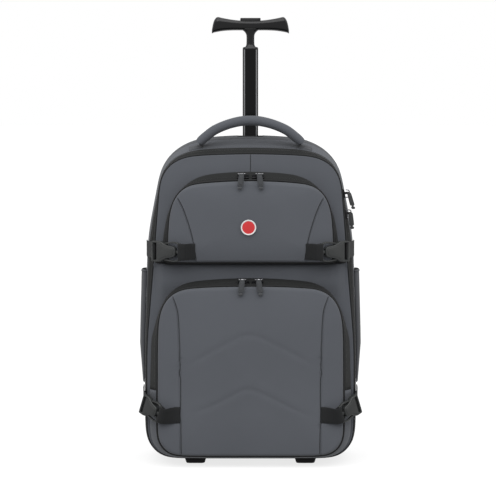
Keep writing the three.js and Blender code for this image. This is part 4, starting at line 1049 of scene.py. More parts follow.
def side_pocket(side):
    heights = [0, 0.02, 0.05, 0.1, 0.16, 0.24, 0.34, 0.46, 0.58, 0.7, 0.8, 0.88, 0.94, 0.97, 1]
    depths = np.linspace(0, 1, 29)
    rows = [row * (side, 1, 1) for row in side_pocket_rows(0.95, heights, depths)]
    word = "right" if side > 0 else "left"
    pocket = loft(f"side_pocket_cloth_{word}", rows, REAR_FABRIC, around=False, slot="fabric")
    solidified(pocket, 0.9)
    hem_line = side_pocket_rows(0.8, [0.985], depths)[0] * (side, 1, 1)
    hem = tube(f"side_pocket_hem_{word}", hem_line, 1.25, REAR_FABRIC, 10, slot="fabric")
    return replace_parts(pocket, f"side_pocket_{word}")


side_pocket(1)
side_pocket(-1)

# Carry handle

HANDLE_HALF, HANDLE_TOP, HANDLE_Y, HANDLE_THICK, HANDLE_DEEP = 82.0, 528.5, 8.0, 7.5, 11.0
HANDLE_ROWS = [(0.985, 0.06, 0.62), (0.965, 0.1, 0.86), (0.93, 0.17, 0.96), (0.85, 0.32, 1), (0.68, 0.6, 1),
               (0.44, 0.83, 1.0), (0.2, 0.965, 1.02), (0, 1, 1.02)]
HANDLE_SEAT = 0.3


def shell_top(x, y):
    hit, place, _, _ = shell.ray_cast(Vector(metres((x, y, 700.0))), Vector((0, 0, -1)))
    return place.z / MM if hit else REAR["bottom"] + REAR["height"]


def handle_path():
    seat = shell_top(HANDLE_HALF, HANDLE_Y + HANDLE_DEEP) + SEAM_GAP + HANDLE_THICK * HANDLE_SEAT
    side = [(share * HANDLE_HALF, seat + (HANDLE_TOP - seat) * rise, thick) for share, rise, thick in HANDLE_ROWS]
    return side + [(-x, z, thick) for x, z, thick in side[-2::-1]]


def carry_handle():
    path = smooth_path(np.array(handle_path()), 7)
    route = np.column_stack((path[:, 0], np.full(len(path), HANDLE_Y), path[:, 1]))
    along = tangents(route)
    up = np.cross(along, (0.0, 1.0, 0.0))
    up *= np.sign(up[:, 2])[:, None]
    rows = []
    for turn in np.linspace(0, 2 * math.pi, 24, endpoint=False):
        c, s = math.cos(turn), math.sin(turn)
        wide = math.copysign(abs(c) ** 0.8, c) * HANDLE_DEEP
        thick = math.copysign(abs(s) ** 0.9, s) * HANDLE_THICK * path[:, 2]
        rows.append(route + np.outer(np.full(len(route), wide), (0, 1, 0)) + up * thick[:, None])
    made = loft("carry_handle_pad", rows, FABRIC, around=False, stacked=True, tips=("sides",), slot="fabric")
    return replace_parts(made, "carry_handle")


def handle_tab(side):
    """The flat end of the handle, sewn on the bag's top."""
    rows = []
    for x in np.linspace(HANDLE_HALF - 7, HANDLE_HALF + 13, 9):
        row = []
        for y in np.linspace(HANDLE_Y - 13, HANDLE_Y + 13, 9):
            row.append((side * x, y, shell_top(side * x, y) + 1.3))
        rows.append(np.array(row))
    tab = loft(f"handle_tab_{'right' if side > 0 else 'left'}", rows, REAR_FABRIC, around=False, slot="fabric")
    solidified(tab, 1.1)
    return tab


handle = carry_handle()
for side in (1, -1):
    tab = handle_tab(side)
    word = "right" if side > 0 else "left"
    box_line = [(HANDLE_HALF + x, HANDLE_Y + y, 0) for x, y in ((2, -11), (11, -11), (11, 11), (2, 11))]
    corners = np.array([(side * x, y, shell_top(side * x, y) + 1.4) for x, y, _ in box_line])
    stitching(f"handle_tab_stitches_{word}", tab, corners, PALE_THREAD, 2.6, True)

# Hard pieces, by hand


def edit(obj):
    only(obj)
    bpy.ops.object.mode_set(mode="EDIT")
    bpy.ops.mesh.select_mode(type="FACE")


def done(obj, name, material, body, smooth=35, replaced=()):
    """Leaves edit mode and finishes a piece made with Blender's tools: its place goes into its mesh."""
    if bpy.context.mode != "OBJECT":
        bpy.ops.object.mode_set(mode="OBJECT")
    only(obj)
    bpy.ops.object.transform_apply(location=True, rotation=True, scale=True)
    obj.name = name
    if not obj.data.materials:
        obj.data.materials.append(material)
    bpy.ops.object.shade_smooth_by_angle(angle=math.radians(smooth))
    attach(obj, body)
    if replaced:
        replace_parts(obj, *replaced)
    return obj


def choose_faces(obj, test):
    """Selects the faces whose middle and normal pass a test, in edit mode."""
    mesh = bmesh.from_edit_mesh(obj.data)
    for face in mesh.faces:
        face.select_set(bool(test(millimetres(obj.matrix_world @ face.calc_center_median()), face.normal)))
    mesh.select_flush_mode()
    bmesh.update_edit_mesh(obj.data)


def choose_edges(obj, test):
    mesh = bmesh.from_edit_mesh(obj.data)
    for edge in mesh.edges:
        a, b = (obj.matrix_world @ v.co for v in edge.verts)
        edge.select_set(bool(test(millimetres((a + b) / 2), (b - a).normalized())))
    bmesh.update_edit_mesh(obj.data)


def block(x, y, z):
    """A cube between two values on each axis, in millimetres."""
    lows = metres((x[0], y[0], z[0]))
    highs = metres((x[1], y[1], z[1]))
    bpy.ops.object.select_all(action="DESELECT")
    bpy.ops.mesh.primitive_cube_add(size=1, location=(lows + highs) / 2, scale=highs - lows)
    bpy.ops.object.transform_apply(location=False, rotation=False, scale=True)
    return bpy.context.active_object


def softened(obj, width, segments=3, angle=30):
    bevel = obj.modifiers.new("edge", "BEVEL")
    bevel.width = width * MM
    bevel.segments = segments
    bevel.limit_method = "ANGLE"
    bevel.angle_limit = math.radians(angle)
    apply_modifiers(obj)
    return obj


def from_solid(node, name, material, body, edge, segments=2, smooth=40):
    """A moulded piece from its CAD solid: merged, its flat faces made whole, its edges softened."""
    obj = bpy.data.objects.new(name, frame["nodes"][node].data.copy())
    bpy.context.scene.collection.objects.link(obj)
    obj.data.materials.clear()
    only(obj)
    bpy.ops.object.mode_set(mode="EDIT")
    bpy.ops.mesh.select_all(action="SELECT")
    bpy.ops.mesh.remove_doubles(threshold=2e-5)
    bpy.ops.mesh.dissolve_limited(angle_limit=math.radians(1.5))
    bpy.ops.mesh.normals_make_consistent(inside=False)
    bpy.ops.object.mode_set(mode="OBJECT")
    if edge:
        softened(obj, edge, segments)
    return done(obj, name, material, body, smooth, (node,))


def telescopic_tube():
    """The pole: a drawn rectangular tube with round corners and a wall."""
    tube_box = block((-12.25, 12.25), (POLE_Y - 8, POLE_Y + 8), (184, 639))
    edit(tube_box)
    choose_faces(tube_box, lambda place, normal: abs(normal.z) > 0.9)
    bpy.ops.mesh.delete(type="ONLY_FACE")
    bpy.ops.mesh.select_mode(type="EDGE")
    choose_edges(tube_box, lambda place, way: abs(way.z) > 0.9)
    bpy.ops.mesh.bevel(offset=5.2 * MM, segments=10, affect="EDGES")
    bpy.ops.object.mode_set(mode="OBJECT")
    solidified(tube_box, 1.3)
    return done(tube_box, "pole_tube", POLE, "trolley", 50, ("pole",))


telescopic_tube()

GRIP_HALF, GRIP_SADDLE, GRIP_HIGH, GRIP_DEEP = 60.5, 669.0, 15.0, 13.0
GRIP_ROWS = [(0, 1, 0, 0.9), (0.2, 1.02, 0, 0.92), (0.42, 1.1, 0, 0.95), (0.6, 1.21, -0.03, 0.99),
             (0.74, 1.32, -0.08, 1), (0.86, 1.4, -0.16, 0.98), (0.935, 1.1, -0.22, 0.88), (0.975, 0.62, -0.28, 0.72),
             (1, 0.06, -0.33, 0.46)]


def grip_bar():
    rows = np.array(GRIP_ROWS)
    side = smooth_path(rows * (GRIP_HALF, 1, 1, 1), 4)
    whole = np.vstack((side[:0:-1] * (-1, 1, 1, 1), side))
    made = []
    for turn in np.linspace(0, 2 * math.pi, 36, endpoint=False):
        c, s = math.cos(turn), math.sin(turn)
        wide = math.copysign(abs(c) ** 0.72, c)
        up = 0.5 + 0.5 * math.copysign(abs(s) ** (0.62 if s > 0 else 0.8), s)
        x, top, bottom, deep = whole.T
        z = GRIP_SADDLE + GRIP_HIGH * (bottom + (top - bottom) * up)
        y = POLE_Y + wide * deep * GRIP_DEEP * (0.82 + 0.18 * up)
        made.append(np.column_stack((x, y, z)))
    bar = loft("grip_bar", made, GRIP, around=False, stacked=True, tips=("sides",), body="trolley", slot="gloss")
    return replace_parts(bar, "grip")


NECK_ROWS = [(634, 10.4, 6.2, 0.5), (638.9, 10.4, 6.2, 0.5), (639.1, 12.1, 7.8, 0.5), (641.4, 12.1, 7.8, 0.5),
             (642.6, 11.2, 7.2, 0.5), (643.6, 8.2, 6.9, 0.6),
             (645.5, 6.9, 6.3, 0.7), (648, 6.35, 6, 0.75), (655, 6.2, 5.9, 0.75), (661, 6.4, 6, 0.75),
             (664.5, 7.6, 6.5, 0.7), (667.5, 10.2, 7.5, 0.7), (670, 14, 8.8, 0.7), (672, 17, 9.4, 0.7)]


def grip_neck():
    """The neck: it flares into the tube below and into the bar above."""
    rows = []
    for z, half_x, half_y, square in NECK_ROWS:
        turn = np.linspace(0, 2 * math.pi, 40, endpoint=False)
        x = half_x * np.sign(np.cos(turn)) * np.abs(np.cos(turn)) ** square
        y = half_y * np.sign(np.sin(turn)) * np.abs(np.sin(turn)) ** square
        rows.append(np.column_stack((x, POLE_Y + y, np.full(40, z))))
    stack = np.array(rows).transpose(1, 0, 2)
    fine = np.array([smooth_path(line, 4) for line in stack]).transpose(1, 0, 2)
    return loft("grip_neck", list(fine), GRIP, tips=("first", "last"), body="trolley", slot="gloss")


grip_bar()
grip_neck()
from_solid("grip_button", "grip_push_button", BUTTON, "button", 1.0, 4)
FLANGE_SUNK = 4.4  # how far the collar's flange lies in the cloth around it
FLANGE_FOOT, FLANGE_BLEND = 496.0, 8.0


def sunk(points):
    share = np.clip((points[:, 2] - FLANGE_FOOT) / FLANGE_BLEND, 0, 1)
    return points - np.outer(share, (0, 0, FLANGE_SUNK))


collar = from_solid("trolley_channel", "trolley_collar", HOUSING, "bag", 0.5)
press(collar, sunk)

for side in ("left", "right"):
    from_solid(f"foot_{side}", f"foot_block_{side}", RUBBER, "bag", 1.2, 3)
    from_solid(f"wheel_housing_{side}", f"wheel_well_{side}", HOUSING, "bag", 0.8)
    from_solid(f"strap_adjuster_{side}", f"adjuster_{side}", HOUSING, "bag", 0.5)


def rounded(line, rounds=2):
    """A closed outline with its corners cut, as many times as rounds."""
    points = np.array(line, float)
    for _ in range(rounds):
        ahead = np.roll(points, -1, 0)
        points = np.stack((points * 0.8 + ahead * 0.2, points * 0.2 + ahead * 0.8), 1).reshape(-1, 2)
    return points


def both_halves(line):
    """A symmetrical outline from its upper half."""
    return line + [(u, -w) for u, w in line[::-1] if w]


def plate(name, outer, holes, thickness, edge, place):
    """A piece cut from a moulded plate, its edges rounded. place sets its flat shape into the bag, in millimetres."""
    curve = bpy.data.curves.new(name, "CURVE")
    curve.dimensions = "2D"
    curve.fill_mode = "BOTH"
    curve.extrude = thickness / 2 - edge
    curve.bevel_depth = edge
    curve.bevel_resolution = 2
    curve.offset = -edge
    for line in (outer, *holes):
        spline = curve.splines.new("POLY")
        spline.points.add(len(line) - 1)
        for point, (u, w) in zip(spline.points, line):
            point.co = (u, w, 0, 1)
        spline.use_cyclic_u = True
    obj = bpy.data.objects.new(name, curve)
    bpy.context.scene.collection.objects.link(obj)
    only(obj)
    bpy.ops.object.convert(target="MESH")
    made = bpy.context.active_object
    points = np.array([v.co for v in made.data.vertices])
    made.data.vertices.foreach_set("co", metres(place(points)).ravel())
    bpy.ops.object.mode_set(mode="EDIT")
    bpy.ops.mesh.select_all(action="SELECT")
    bpy.ops.mesh.remove_doubles(threshold=1e-5)
    bpy.ops.mesh.normals_make_consistent(inside=False)
    bpy.ops.object.mode_set(mode="OBJECT")
    return made


def joined(first, *others):
    only(first)
    for other in others:
        other.select_set(True)
    bpy.ops.object.join()
    return first


PULL_TAB = [(4.1, -1), (4.7, -16.3), (3.8, -18), (-3.8, -18), (-4.7, -16.3), (-4.1, -1), (-2.8, 1.2), (2.8, 1.2)]
PULL_WINDOW = [(2.5, -3.4), (2.9, -14.2), (2.1, -15.3), (-2.1, -15.3), (-2.9, -14.2), (-2.5, -3.4), (-1.9, -2.6),
               (1.9, -2.6)]
PULL_TIP = [(3.5, -19.4), (3.8, -21.2), (2.5, -23), (-2.5, -23), (-3.8, -21.2), (-3.5, -19.4)]


def zip_pull(node, name, across, out, lean, splay, size, inward, material):
    """A pull: a wire from the slider, a moulded tab with a raised face, and a rounded tip. The tab's width lies along
    across, it faces out, its foot leans out by lean and sideways by splay, and it lies inward of its solid's
    face."""
    low, high = (millimetres(corner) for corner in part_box(node))
    across, out = np.array(across, float), np.array(out, float)
    middle = (low + high) / 2
    reach = min(np.abs(out) @ (high - low), 22)
    far = middle + out * (reach / 2 - 1.3 - inward)
    pivot = middle - out * (reach / 2 - 1.6)
    pivot[2] = high[2] - 1.8
    top = np.array((far[0], far[1], high[2] - 3.2))

    def hung(off):
        return lambda p: (top + across * (p[:, 0:1] - splay * p[:, 1:2]) * size + np.array((0, 0, 1)) * p[:, 1:2] * size
                          + out * (p[:, 2:3] + off - lean * p[:, 1:2] * size))

    parts = [plate(name, rounded(PULL_TAB), [], 2.2, 0.6, hung(0)),
             plate(name, rounded(PULL_WINDOW), [], 1.0, 0.4, hung(1.1)),
             plate(name, rounded([(1.9, -17), (1.9, -20.4), (-1.9, -20.4), (-1.9, -17)]), [], 1.3, 0.3, hung(0)),
             plate(name, rounded(PULL_TIP), [], 2.4, 0.7, hung(0.2))]
    tab = done(joined(*parts), name, material, node, 40, (node,))
    spread = across * 2.7
    wire = smooth_path([pivot - spread * 0.9, pivot - spread + out * 1.2, top - spread + (0, 0, 1.0) - out * 2.0,
                        top - spread - (0, 0, 1.2), top + spread - (0, 0, 1.2),
                        top + spread + (0, 0, 1.0) - out * 2.0, pivot + spread + out * 1.2, pivot + spread * 0.9])
    tube(f"{name}_wire", wire, 0.75, METAL, 8, body=node, slot="metal")
    return tab


def slider_bridge(node, name, along, out):
    """The bright arch over a zip slider that its pull hangs from, towards the slider's upper or inner edge."""
    low, high = (millimetres(corner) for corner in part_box(node))
    along, out = np.array(along, float), np.array(out, float)
    edge = np.abs(np.cross(along, out)) * (high - low) * 0.3
    reach = np.abs(along) @ (high - low) / 2 - 1.2
    middle = (low + high) / 2 + edge + out * ((np.abs(out) @ (high - low)) / 2 - 2.0)
    arch = [middle + along * reach * a + out * b for a, b in
            ((-1, -2.5), (-0.97, 0.6), (-0.75, 2.6), (-0.3, 3.3), (0.3, 3.3), (0.75, 2.6), (0.97, 0.6), (1, -2.5))]
    return tube(name, smooth_path(arch, 5), 1.0, BRIDGE, 10, slot="metal")


SLIDER_MOUTH = 4.0  # how much further each slider reaches towards its twin
SLIDER_MIDDLE, SLIDER_BLEND = 15.0, 8.0


def meeting(points):
    """Lengthens a slider's mouth towards the bag's middle, where the other slider of its zip stands."""
    x = points[:, 0]
    share = np.clip((SLIDER_MIDDLE - np.abs(x)) / SLIDER_BLEND, 0, 1)
    return points - np.outer(np.sign(x) * SLIDER_MOUTH * share, (1, 0, 0))


for side, turned in (("left", -1), ("right", 1)):
    for level in ("upper", "lower"):
        node = f"{level}_zip_slider_{side}"
        slider = from_solid(node, f"{level}_slider_{side}", METAL, "bag", 0.35)
        press(slider, meeting)
        slider_bridge(node, f"{level}_slider_bridge_{side}", (1, 0, 0), (0, -1, 0))
        zip_pull(f"{level}_zip_pull_{side}", f"{level}_pull_{side}", (1, 0, 0), (0, -1, 0), 0.0,
                 0.12 * turned, 1.0, 0.0, PULL)
for place in ("top", "bottom"):
    node = f"main_zip_slider_{place}"
    from_solid(node, f"main_slider_{place}", METAL, "bag", 0.35)
    slider_bridge(node, f"main_slider_bridge_{place}", (0, 0, 1), (1, 0, 0))
    zip_pull(f"main_zip_pull_{place}", f"main_pull_{place}", (0.66, 0.75, 0), (0.75, -0.66, 0),
             0.36 if place == "top" else 0.12, 0, 1.05, 1.5, DARK_PULL)

# Wheels


def wheel_form(name, profile, side, material, segments=56):
    """A ring turned round the axle from a cross-section of radii and places across."""
    bpy.ops.object.select_all(action="DESELECT")
    centre = metres((side * WHEEL_X, WHEEL_Y, WHEEL_RADIUS))
    mesh = bpy.data.meshes.new(name)
    points = [centre + (x * MM, 0, r * MM) for r, x in profile]
    mesh.from_pydata([tuple(p) for p in points], [(i, (i + 1) % len(points)) for i in range(len(points))], [])
    obj = bpy.data.objects.new(name, mesh)
    bpy.context.scene.collection.objects.link(obj)
    only(obj)
    bpy.ops.object.mode_set(mode="EDIT")
    bpy.ops.mesh.select_all(action="SELECT")
    bpy.ops.mesh.spin(steps=segments, angle=2 * math.pi, center=tuple(centre), axis=(1, 0, 0))
    bpy.ops.mesh.select_all(action="SELECT")
    bpy.ops.mesh.remove_doubles(threshold=1e-6)
    bpy.ops.mesh.normals_make_consistent(inside=False)
    return done(obj, name, material, f"wheel_{'right' if side > 0 else 'left'}", 30)


def wheel(side):
    word = "right" if side > 0 else "left"
    half = WHEEL_WIDTH / 2
    tyre = [(19.2, -half * 0.78), (21, -half * 0.97), (24.5, -half), (27.6, -half * 0.86), (29.2, -half * 0.66),
            (30, -half * 0.42), (30, -2.2), (29.1, -1.6), (29.1, 1.6), (30, 2.2), (30, half * 0.42),
            (29.2, half * 0.66), (27.6, half * 0.86), (24.5, half), (21, half * 0.97), (19.2, half * 0.78)]
    made = wheel_form(f"tyre_{word}", tyre, side, RUBBER)
    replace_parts(made, f"wheel_{word}")
    hub = [(4.4, -half * 0.84), (8, -half * 0.84), (9, -half * 0.7), (9.6, -half * 0.3), (16.4, -half * 0.26),
           (17, -half * 0.74), (19.4, -half * 0.8), (19.4, half * 0.8), (17, half * 0.74), (16.4, half * 0.26),
           (9.6, half * 0.3), (9, half * 0.7), (8, half * 0.84), (4.4, half * 0.84)]
    wheel_form(f"hub_{word}", hub, side, HUB)
    spoke = block((side * WHEEL_X - half * 0.62, side * WHEEL_X + half * 0.62), (WHEEL_Y - 1.2, WHEEL_Y + 1.2),
                  (WHEEL_RADIUS + 8.4, WHEEL_RADIUS + 17.2))
    softened(spoke, 0.4, 2)
    edit(spoke)
    bpy.ops.mesh.select_all(action="SELECT")
    for _ in range(5):
        bpy.ops.mesh.duplicate()
        bpy.ops.transform.rotate(value=math.pi / 3, orient_axis="X",
                                 center_override=tuple(metres((side * WHEEL_X, WHEEL_Y, WHEEL_RADIUS))))
    done(spoke, f"spokes_{word}", HUB, f"wheel_{word}")


wheel(1)
wheel(-1)

# Back pad and shoulder straps

PAD_THICK = 9.0
PAD_FACE_Y = BACK_Y + SEAM_GAP + PAD_THICK


def back_pad():
    """A padded back with sewn channels, crowned between them."""
    ring = outline(BACK_PAD)
    rows = [at_depth(grown(ring, -3), BACK_Y + SEAM_GAP)]
    for turn in np.linspace(0.15, math.pi / 2, 7):
        rows.append(at_depth(grown(ring, -11 * (1 - math.cos(turn)) ** 1.2),
                             BACK_Y + SEAM_GAP + PAD_THICK * math.sin(turn)))
    last = rows[-1]
    middle = np.array((0, PAD_FACE_Y, 290.0))
    for share in np.linspace(0.93, 0.06, 20):
        rows.append(middle + (last - middle) * share)
    made = loft("back_pad_mesh", rows, MESH, tips=("first", "last"), slot="mesh")
    channels = [[(x, 140), (x, 290), (x, 435)] for x in (-38, 38)]
    channels += [[(-104, z), (-70, z - 3), (-40, z)] for z in (210, 300, 385)]
    channels += [[(40, z), (70, z - 3), (104, z)] for z in (210, 300, 385)]
    crease(made, channels, 4.2, 4.2, 0.6, facing=(0, 1, 0), passes=(16, 9))
    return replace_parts(made, "back_pad")


back_pad()

STRAP_WIDTH, STRAP_THICK, STRAP_GAP = 58.0, 12.0, 27.0
SHOULDER_ROWS = [(0.36, 1.04, 0, 0.8, 0.35), (0.37, 1.015, 0.42, 0.85, 0.7), (0.43, 0.93, 0.85, 0.95, 1),
                 (0.54, 0.79, 1, 1, 1), (0.63, 0.65, 0.99, 1, 1), (0.7, 0.51, 0.85, 0.85, 0.95),
                 (0.74, 0.42, 0.78, 0.62, 0.5)]


def shoulder_rows(side):
    """Place, width and thickness along a shoulder strap."""
    rows = [(side * x * BACK_PAD["half"], BACK_Y + SEAM_GAP + off * STRAP_GAP + thick * STRAP_THICK / 2,
             BACK_PAD["bottom"] + z * BACK_PAD["height"], wide * STRAP_WIDTH, thick * STRAP_THICK)
            for x, z, off, wide, thick in SHOULDER_ROWS]
    return smooth_path(rows, 8)


def shoulder_strap(side):
    word = "right" if side > 0 else "left"
    path = shoulder_rows(side)
    route, width, deep = path[:, :3], path[:, 3:4] / 2, path[:, 4:5] / 2
    along = tangents(route)
    wide = np.array((1.0, 0, 0)) - along * along[:, 0:1]
    wide /= np.linalg.norm(wide, axis=1)[:, None]
    thick = np.cross(along, wide)
    thick *= np.sign(thick[:, 1:2] + 1e-9)
    rows = []
    for turn in np.linspace(0, 2 * math.pi, 32, endpoint=False):
        c, s = math.cos(turn), math.sin(turn)
        u = math.copysign(abs(c) ** 0.5, c)
        v = math.copysign(abs(s) ** 0.75, s)
        rows.append(route + wide * width * u + thick * deep * v)
    strap = loft(f"shoulder_pad_{word}", rows, MESH, around=False, stacked=True, tips=("sides",), slot="mesh")
    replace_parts(strap, f"shoulder_strap_{word}")
    edges = [tube(f"shoulder_binding_{word}_{name}", route + wide * width * s, 1.5, BAND, 8, slot="band")
             for name, s in (("inner", -side), ("outer", side))]
    top = route + thick * (deep + 0.2)
    ribbon(f"shoulder_webbing_{word}", top[4:-2], wide[4:-2], 25, 1.6, WEBBING, slot="webbing")
    return strap, edges


shoulder_strap(1)
shoulder_strap(-1)


# Webbing

WEB_WIDTH, WEB_THICK = 25.0, 1.6
BUCKLE_LENGTH, BUCKLE_THICK, BUCKLE_BAR, BUCKLE_SLOT = 44.0, 8.0, 3.0, 3.6
STAND_OFF = 5.2
CAD_STEPS = {"bottom": 2, "arc": 4, "side": 1, "corner": 5, "crown": 3}


def buckle_line(form, depth, z, share, degrees, rise):
    """Where a buckle begins and ends beside a pocket's front edge."""
    edge = np.array((width_at(outline(form, 0, CAD_STEPS, 0), z) + PIPING_RADIUS,
                     face_y(z) - depth + PANEL_RIM * 0.5, z))
    turn = math.radians(degrees)
    way = np.array((math.cos(turn), math.sin(turn), 0))
    out = np.array((math.sin(turn), -math.cos(turn), 0))
    start = edge + out * STAND_OFF - way * share * BUCKLE_LENGTH
    end = start + way * math.sqrt(BUCKLE_LENGTH**2 - rise**2)
    end[2] = z + rise
    return start, end


SOCKET = [(0, 0), (0.01, 4.4), (0.05, 7.4), (0.19, 9), (0.35, 9.8), (0.5, 12.6), (0.6, 15.4), (0.72, 16), (0.97, 15.8),
          (1, 14.6), (1, 0)]
SOCKET_SLOT = [(0.79, -12.9), (0.79, 12.9), (0.91, 12.9), (0.91, -12.9)]
SOCKET_FACE = [(0.08, 0), (0.09, 4), (0.18, 6.2), (0.35, 7), (0.52, 9.6), (0.64, 12), (0.72, 12.2), (0.72, 0)]
PRONG = [(-5.4, 12.4), (-2.5, 14.6), (1.5, 15.6), (6, 15.4), (11, 14.2), (15.4, 13.2), (15, 11), (10, 12.1),
         (5.5, 13), (1.5, 13.2), (-1.5, 12.3), (-3.8, 10.4)]
PLUG_BAR = [(-7.8, -14), (-7.8, 14), (-4.6, 14), (-4.6, -14)]
GUIDE = [(-5.4, -2.4), (-5.4, 2.4), (3, 2.2), (3, -2.2)]


def buckle(name, side, nose, place):
    """A fastened side-release buckle: the socket's body from its nose, and the plug's bar, guide and two sprung
    prongs."""
    socket, plug = f"{name}_socket_{side}", f"{name}_plug_{side}"
    long = BUCKLE_LENGTH - nose

    def along(line, stretch=1.0):
        return [(nose + u * stretch, w) for u, w in line]

    form = plate(socket, rounded(along(both_halves(SOCKET), long)), [along(SOCKET_SLOT, long)], BUCKLE_THICK, 1.5,
                 place)
    raised = plate(socket, rounded(along(both_halves(SOCKET_FACE), long)), [], 1.2, 0.5,
                   lambda p: place(p + (0, 0, BUCKLE_THICK / 2)))
    done(joined(form, raised), f"{name}_buckle_socket_{side}", PLASTIC, "bag", 40, (socket,))
    sprung = long / 31
    prong = [(u * sprung if u > 0 else u, w) for u, w in PRONG]
    parts = [plate(plug, rounded(along(prong), 1), [], 4.2, 0.8, place),
             plate(plug, rounded(along([(u, -w) for u, w in prong]), 1), [], 4.2, 0.8, place),
             plate(plug, rounded(along(PLUG_BAR), 1), [], 3.0, 0.8, place),
             plate(plug, rounded(along(GUIDE), 1), [], 3.0, 0.8, place)]
    done(joined(*parts), f"{name}_buckle_plug_{side}", PLASTIC, "bag", 40, (plug,))


def compression_webbing(name, cloth, form, depth, seam_x, z, share, degrees, rise, anchor_y, nose):
    """The webbing before and behind a fastened buckle, over its two bars."""
    start, end = buckle_line(form, depth, z, share, degrees, rise)
    u = (end - start) / np.linalg.norm(end - start)
    v = -np.cross(u, (0, 0, 1))
    v /= np.linalg.norm(v)
    w = np.cross(u, v)
    behind = BUCKLE_THICK / 2 + SEAM_GAP + WEB_THICK / 2
    slot = BUCKLE_BAR + BUCKLE_SLOT / 2

    def beside(*places):
        """Places along the buckle and behind its middle."""
        return [start + u * a + v * b for a, b in places]

    def on_cloth(x):
        hit, place, _, _ = cloth.ray_cast(Vector(metres((x, -300, z))), Vector((0, 1, 0)))
        return np.array((x, millimetres(place)[1] - WEB_THICK / 2 - 0.15, z))

    def on_side(y, off=0.0):
        high = z + rise * 1.35
        return np.array((shell_x(y, high) + 0.5 + WEB_THICK / 2 + off, y, high))

    upright = np.array((0, 0, 1.0))
    fold = nose - 13
    stub = [on_cloth(seam_x - 1.7), on_cloth(seam_x + 5), *beside(
        (fold - 1, 0.2), (fold + 3, -1.9), (fold + 6.5, -2.5), (fold + 9.2, -2.1), (fold + 10, 0),
        (fold + 9.2, 2.1), (fold + 6, 2.5), (fold + 3, 2.6))]
    high = z + rise * 1.35
    lip_y = face_y(high) + LIP_DEPTH
    over = np.array((width_at(outline(FRONT, 0, CAD_STEPS, 0), high) + PIPING_RADIUS + WEB_THICK + 3.2,
                     face_y(high) + PANEL_RIM, high))
    far = BUCKLE_LENGTH - slot
    rear = [*beside((far, -BUCKLE_THICK * 0.2), (far, behind - 1.2), (far + 1.2, behind),
                    (far + BUCKLE_BAR + BUCKLE_SLOT, behind)),
            over, on_side(lip_y + 4, 0.8), on_side(anchor_y - 8), on_side(anchor_y)]
    tilted = w if w[2] > 0 else -w
    for side, turned in (("right", 1), ("left", -1)):
        flip = (turned, 1, 1)
        buckle(name, side, nose, lambda p: (start + u * p[:, 0:1] + tilted * p[:, 1:2] - v * p[:, 2:3]) * flip)
        for part, path, across in (("stub", stub, [upright] * 2 + [tilted] * 8),
                                   ("webbing", rear, [tilted] * 4 + [upright] * 4)):
            made = ribbon(f"{name}_{part}_{side}", np.array(path) * flip, np.array(across) * flip, WEB_WIDTH,
                          WEB_THICK, WEBBING, slot="webbing")
            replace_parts(made, f"{name}_{part}_{side}")


UPPER_STRAP_Z, LOWER_STRAP_Z = 330.0, 82.0
compression_webbing("upper_strap", upper_pocket_face, UPPER_PANEL, UPPER_DEPTH, 86, UPPER_STRAP_Z, 0.42, 30, 0, 24, 0.8)
compression_webbing("lower_strap", lower_pocket_face, LOWER_PANEL, LOWER_DEPTH, 109, LOWER_STRAP_Z, 0.3, 42, 16, 14,
                    10.5)


def lower_webbing(side):
    """The strap from the shoulder strap's adjuster to the bag's lower corner."""
    x, off, thick = SHOULDER_ROWS[-1][0], SHOULDER_ROWS[-1][2], SHOULDER_ROWS[-1][4]
    end = np.array((x * BACK_PAD["half"], BACK_Y + SEAM_GAP + off * STRAP_GAP + thick * STRAP_THICK / 2,
                    BACK_PAD["bottom"] + SHOULDER_ROWS[-1][1] * BACK_PAD["height"]))
    slot_z = end[2] - STRAP_THICK / 2 - 18
    behind = end[1] - 2 - 2 * SEAM_GAP - WEB_THICK / 2
    seat = BACK_Y + 2 * SEAM_GAP + WEB_THICK / 2
    anchor = REAR["half"] * 0.84
    path = [(end[0], end[1] + 2, slot_z), (end[0], behind + 1.2, slot_z), (end[0] + 0.2, behind, slot_z - 1.2),
            (end[0] + 1.5, behind, slot_z - 12), (anchor - 13, PAD_FACE_Y + 2.5, BACK_PAD["bottom"] + 36),
            (anchor - 3, seat + 4, 112), (anchor, seat, 98), (anchor + 1, seat, 88)]
    word = "right" if side > 0 else "left"
    made = ribbon(f"lower_webbing_{word}_strap", np.array(path) * (side, 1, 1), np.tile((1.0, 0, 0), (8, 1)),
                  25, WEB_THICK, WEBBING, slot="webbing")
    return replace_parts(made, f"lower_webbing_{word}")


lower_webbing(1)
lower_webbing(-1)

# Badge


def badge():
    """A plain round enamel badge in a pale rim."""
    low, high = (millimetres(corner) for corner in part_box("badge"))
    centre = (low + high) / 2
    seat, stand = high[1] + 0.0, high[1] - low[1]
    bpy.ops.object.select_all(action="DESELECT")
    bpy.ops.mesh.primitive_cylinder_add(vertices=64, radius=11.8 * MM, depth=stand * 0.8 * MM,
                                        location=metres((centre[0], seat - stand * 0.45, centre[2])),
                                        rotation=(math.pi / 2 - math.atan(FACE_LEAN), 0, 0))
    plate = bpy.context.active_object
    plate.data.materials.append(BADGE_RIM)
    plate.data.materials.append(BADGE_RED)
    edit(plate)
    choose_faces(plate, lambda place, normal: normal.z > 0.9)
    bpy.ops.mesh.inset(thickness=1.5 * MM, depth=0)
    bpy.ops.mesh.inset(thickness=0.5 * MM, depth=-0.45 * MM)
    plate.active_material_index = 1
    bpy.ops.object.material_slot_assign()
    bpy.ops.mesh.inset(thickness=3 * MM, depth=0.25 * MM)
    bpy.ops.object.mode_set(mode="OBJECT")
    softened(plate, 0.35, 3)
    return done(plate, "round_badge", BADGE_RIM, "bag", 40, ("badge",))


badge()

# Light, floor and camera


